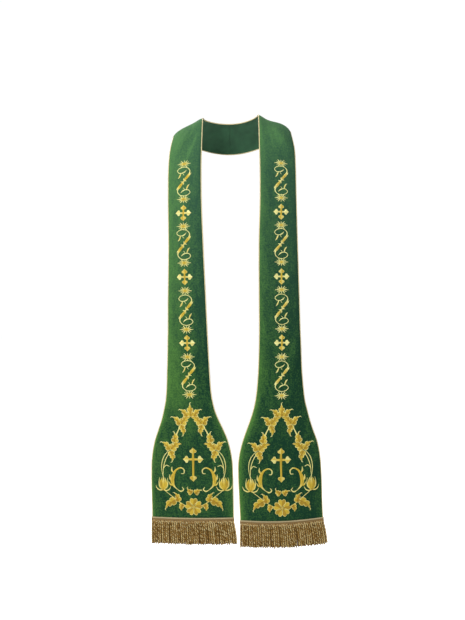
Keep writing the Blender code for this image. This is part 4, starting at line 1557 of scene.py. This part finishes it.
def build_embroidery(side):
    """All the motifs of one panel."""
    panel, column = PANELS[side], COLUMNS[side]
    stitches = Grids()
    motifs = [(star(), along) for along in column.stars]
    motifs += [(cross(), along) for along in column.crosses]
    motifs += [(scroll(), sum(column.stars[i : i + 2]) / 2) for i in (0, 2, 4, 6)]
    motifs.append((wide_end(), column.wreath))
    for strips, along in motifs:
        for strip in strips:
            sew(stitches, panel, column, strip, along, how_pale(column, along, strip))
    piece = stitches.make("embroidery_" + side, [EMBROIDERY_GOLD])
    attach(piece, "root")
    print(piece.name, len(piece.data.polygons), "faces")
    return piece


EMBROIDERY = {side: build_embroidery(side) for side in HANGS}

# %% [markdown]
# ## The widths of each panel
#
# A panel is 1.3 m long, narrow at the neck and wide at the hem, so its area is less than its width
# times its length. Its widths along its length could be measured on the finished mesh, but that
# counts both faces, so they're worked out from the surface.

# %% The widths of each panel
for side, piece in SKINS.items():
    panel = PANELS[side]
    along = np.linspace(0, panel.length, 400)
    widths = panel.width(along)

# %% [markdown]
# ## Floor and light
#
# A white floor lies under the stole, and the surroundings are white too, as in a studio where
# everything behind the cloth is lit until it is plain. A large soft light from the upper left
# models the folds, a weaker one fills from the right, and one behind lights the backing. The
# surroundings give less light than they show, so that they don't flatten the velvet.

# %% Floor and light
FLOOR_Z = -1.45
FLOOR_REACH = 40.0
FLOOR_GLOW = 0.62
SHOWN_WHITE = 1.02
SURROUNDINGS = 0.45
Lamp = namedtuple("Lamp", "name place target size power")
LAMPS = [
    Lamp("key", (-1.9, -2.2, 1.7), (0, 0, -0.45), 1.3, 105),
    Lamp("fill", (2.6, -2.4, 0.4), (0, 0, -0.5), 2.0, 18),
    Lamp("back", (-0.9, 2.6, 1.0), (0, 0, -0.5), 1.8, 50),
]


def build_floor():
    """A white floor that glows a little, but only for the camera."""
    reach = np.linspace(-FLOOR_REACH, FLOOR_REACH, 9)
    points = np.array([[(x, y, FLOOR_Z) for x in reach] for y in reach])
    floor = Grids()
    floor.add(points, points[..., :2].copy(), inside_out=True)
    material, tree, shader = new_material("pale floor", 0.9)
    shader.inputs["Base Color"].default_value = (0.86, 0.86, 0.86, 1.0)
    shader.inputs["Emission Color"].default_value = (1.0, 1.0, 1.0, 1.0)
    seen = tree.nodes.new("ShaderNodeLightPath")
    glow = add_math(tree, "MULTIPLY", seen.outputs["Is Camera Ray"], FLOOR_GLOW)
    tree.links.new(glow, shader.inputs["Emission Strength"])
    floor.make("floor", [material])


def add_light(lamp):
    """A square soft light, unseen by the camera."""
    light = bpy.data.lights.new(lamp.name, "AREA")
    light.shape = "RECTANGLE"
    light.size = lamp.size
    light.size_y = lamp.size
    light.energy = lamp.power
    holder = bpy.data.objects.new(lamp.name, light)
    bpy.context.scene.collection.objects.link(holder)
    holder.location = lamp.place
    way = np.array(lamp.target, float) - np.array(lamp.place, float)
    holder.rotation_euler = Vector(way).to_track_quat("-Z", "Y").to_euler()
    holder.visible_camera = False


build_floor()
for lamp in LAMPS:
    add_light(lamp)
world = bpy.data.worlds.new("studio")
world.use_nodes = True
sky = world.node_tree
seen = sky.nodes.new("ShaderNodeLightPath")
level = add_math(
    sky, "MULTIPLY_ADD", seen.outputs["Is Camera Ray"], SHOWN_WHITE - SURROUNDINGS, SURROUNDINGS
)
sky.nodes["Background"].inputs["Color"].default_value = (1.0, 1.0, 1.0, 1.0)
sky.links.new(level, sky.nodes["Background"].inputs["Strength"])
bpy.context.scene.world = world
bpy.context.scene.view_settings.view_transform = "Standard"
print("lights:", [lamp.name for lamp in LAMPS])

# %% [markdown]
# ## Camera
#
# The camera looks level at the front from 3.3 m away through a long lens, at about half the stole's
# height. A closer camera with a wide lens would fill the frame too, but it would spread the hems and
# look down on the shoulders. It's turned by less than a degree, so the stole leans a little.

# %% Camera
CAMERA_BACK = 3.33
CAMERA_DOWN = 0.559
CAMERA_TILT = math.radians(0.8)
CAMERA_SENSOR = 36.0
CAMERA_LENS = 67.08
CAMERA_FAR = 50.0
camera = bpy.data.cameras.new("camera")
camera.sensor_fit = "VERTICAL"
camera.sensor_height = CAMERA_SENSOR
camera.lens = CAMERA_LENS
camera.clip_end = CAMERA_FAR
viewer = bpy.data.objects.new("camera", camera)
bpy.context.scene.collection.objects.link(viewer)
viewer.matrix_world = Matrix(
    (
        (math.cos(CAMERA_TILT), math.sin(CAMERA_TILT), 0.0, 0.0),
        (0.0, 0.0, -1.0, -CAMERA_BACK),
        (-math.sin(CAMERA_TILT), math.cos(CAMERA_TILT), 0.0, -CAMERA_DOWN),
        (0.0, 0.0, 0.0, 1.0),
    )
)
bpy.context.scene.camera = viewer
print("the camera is", CAMERA_BACK, "m in front, with a lens of", CAMERA_LENS, "mm")
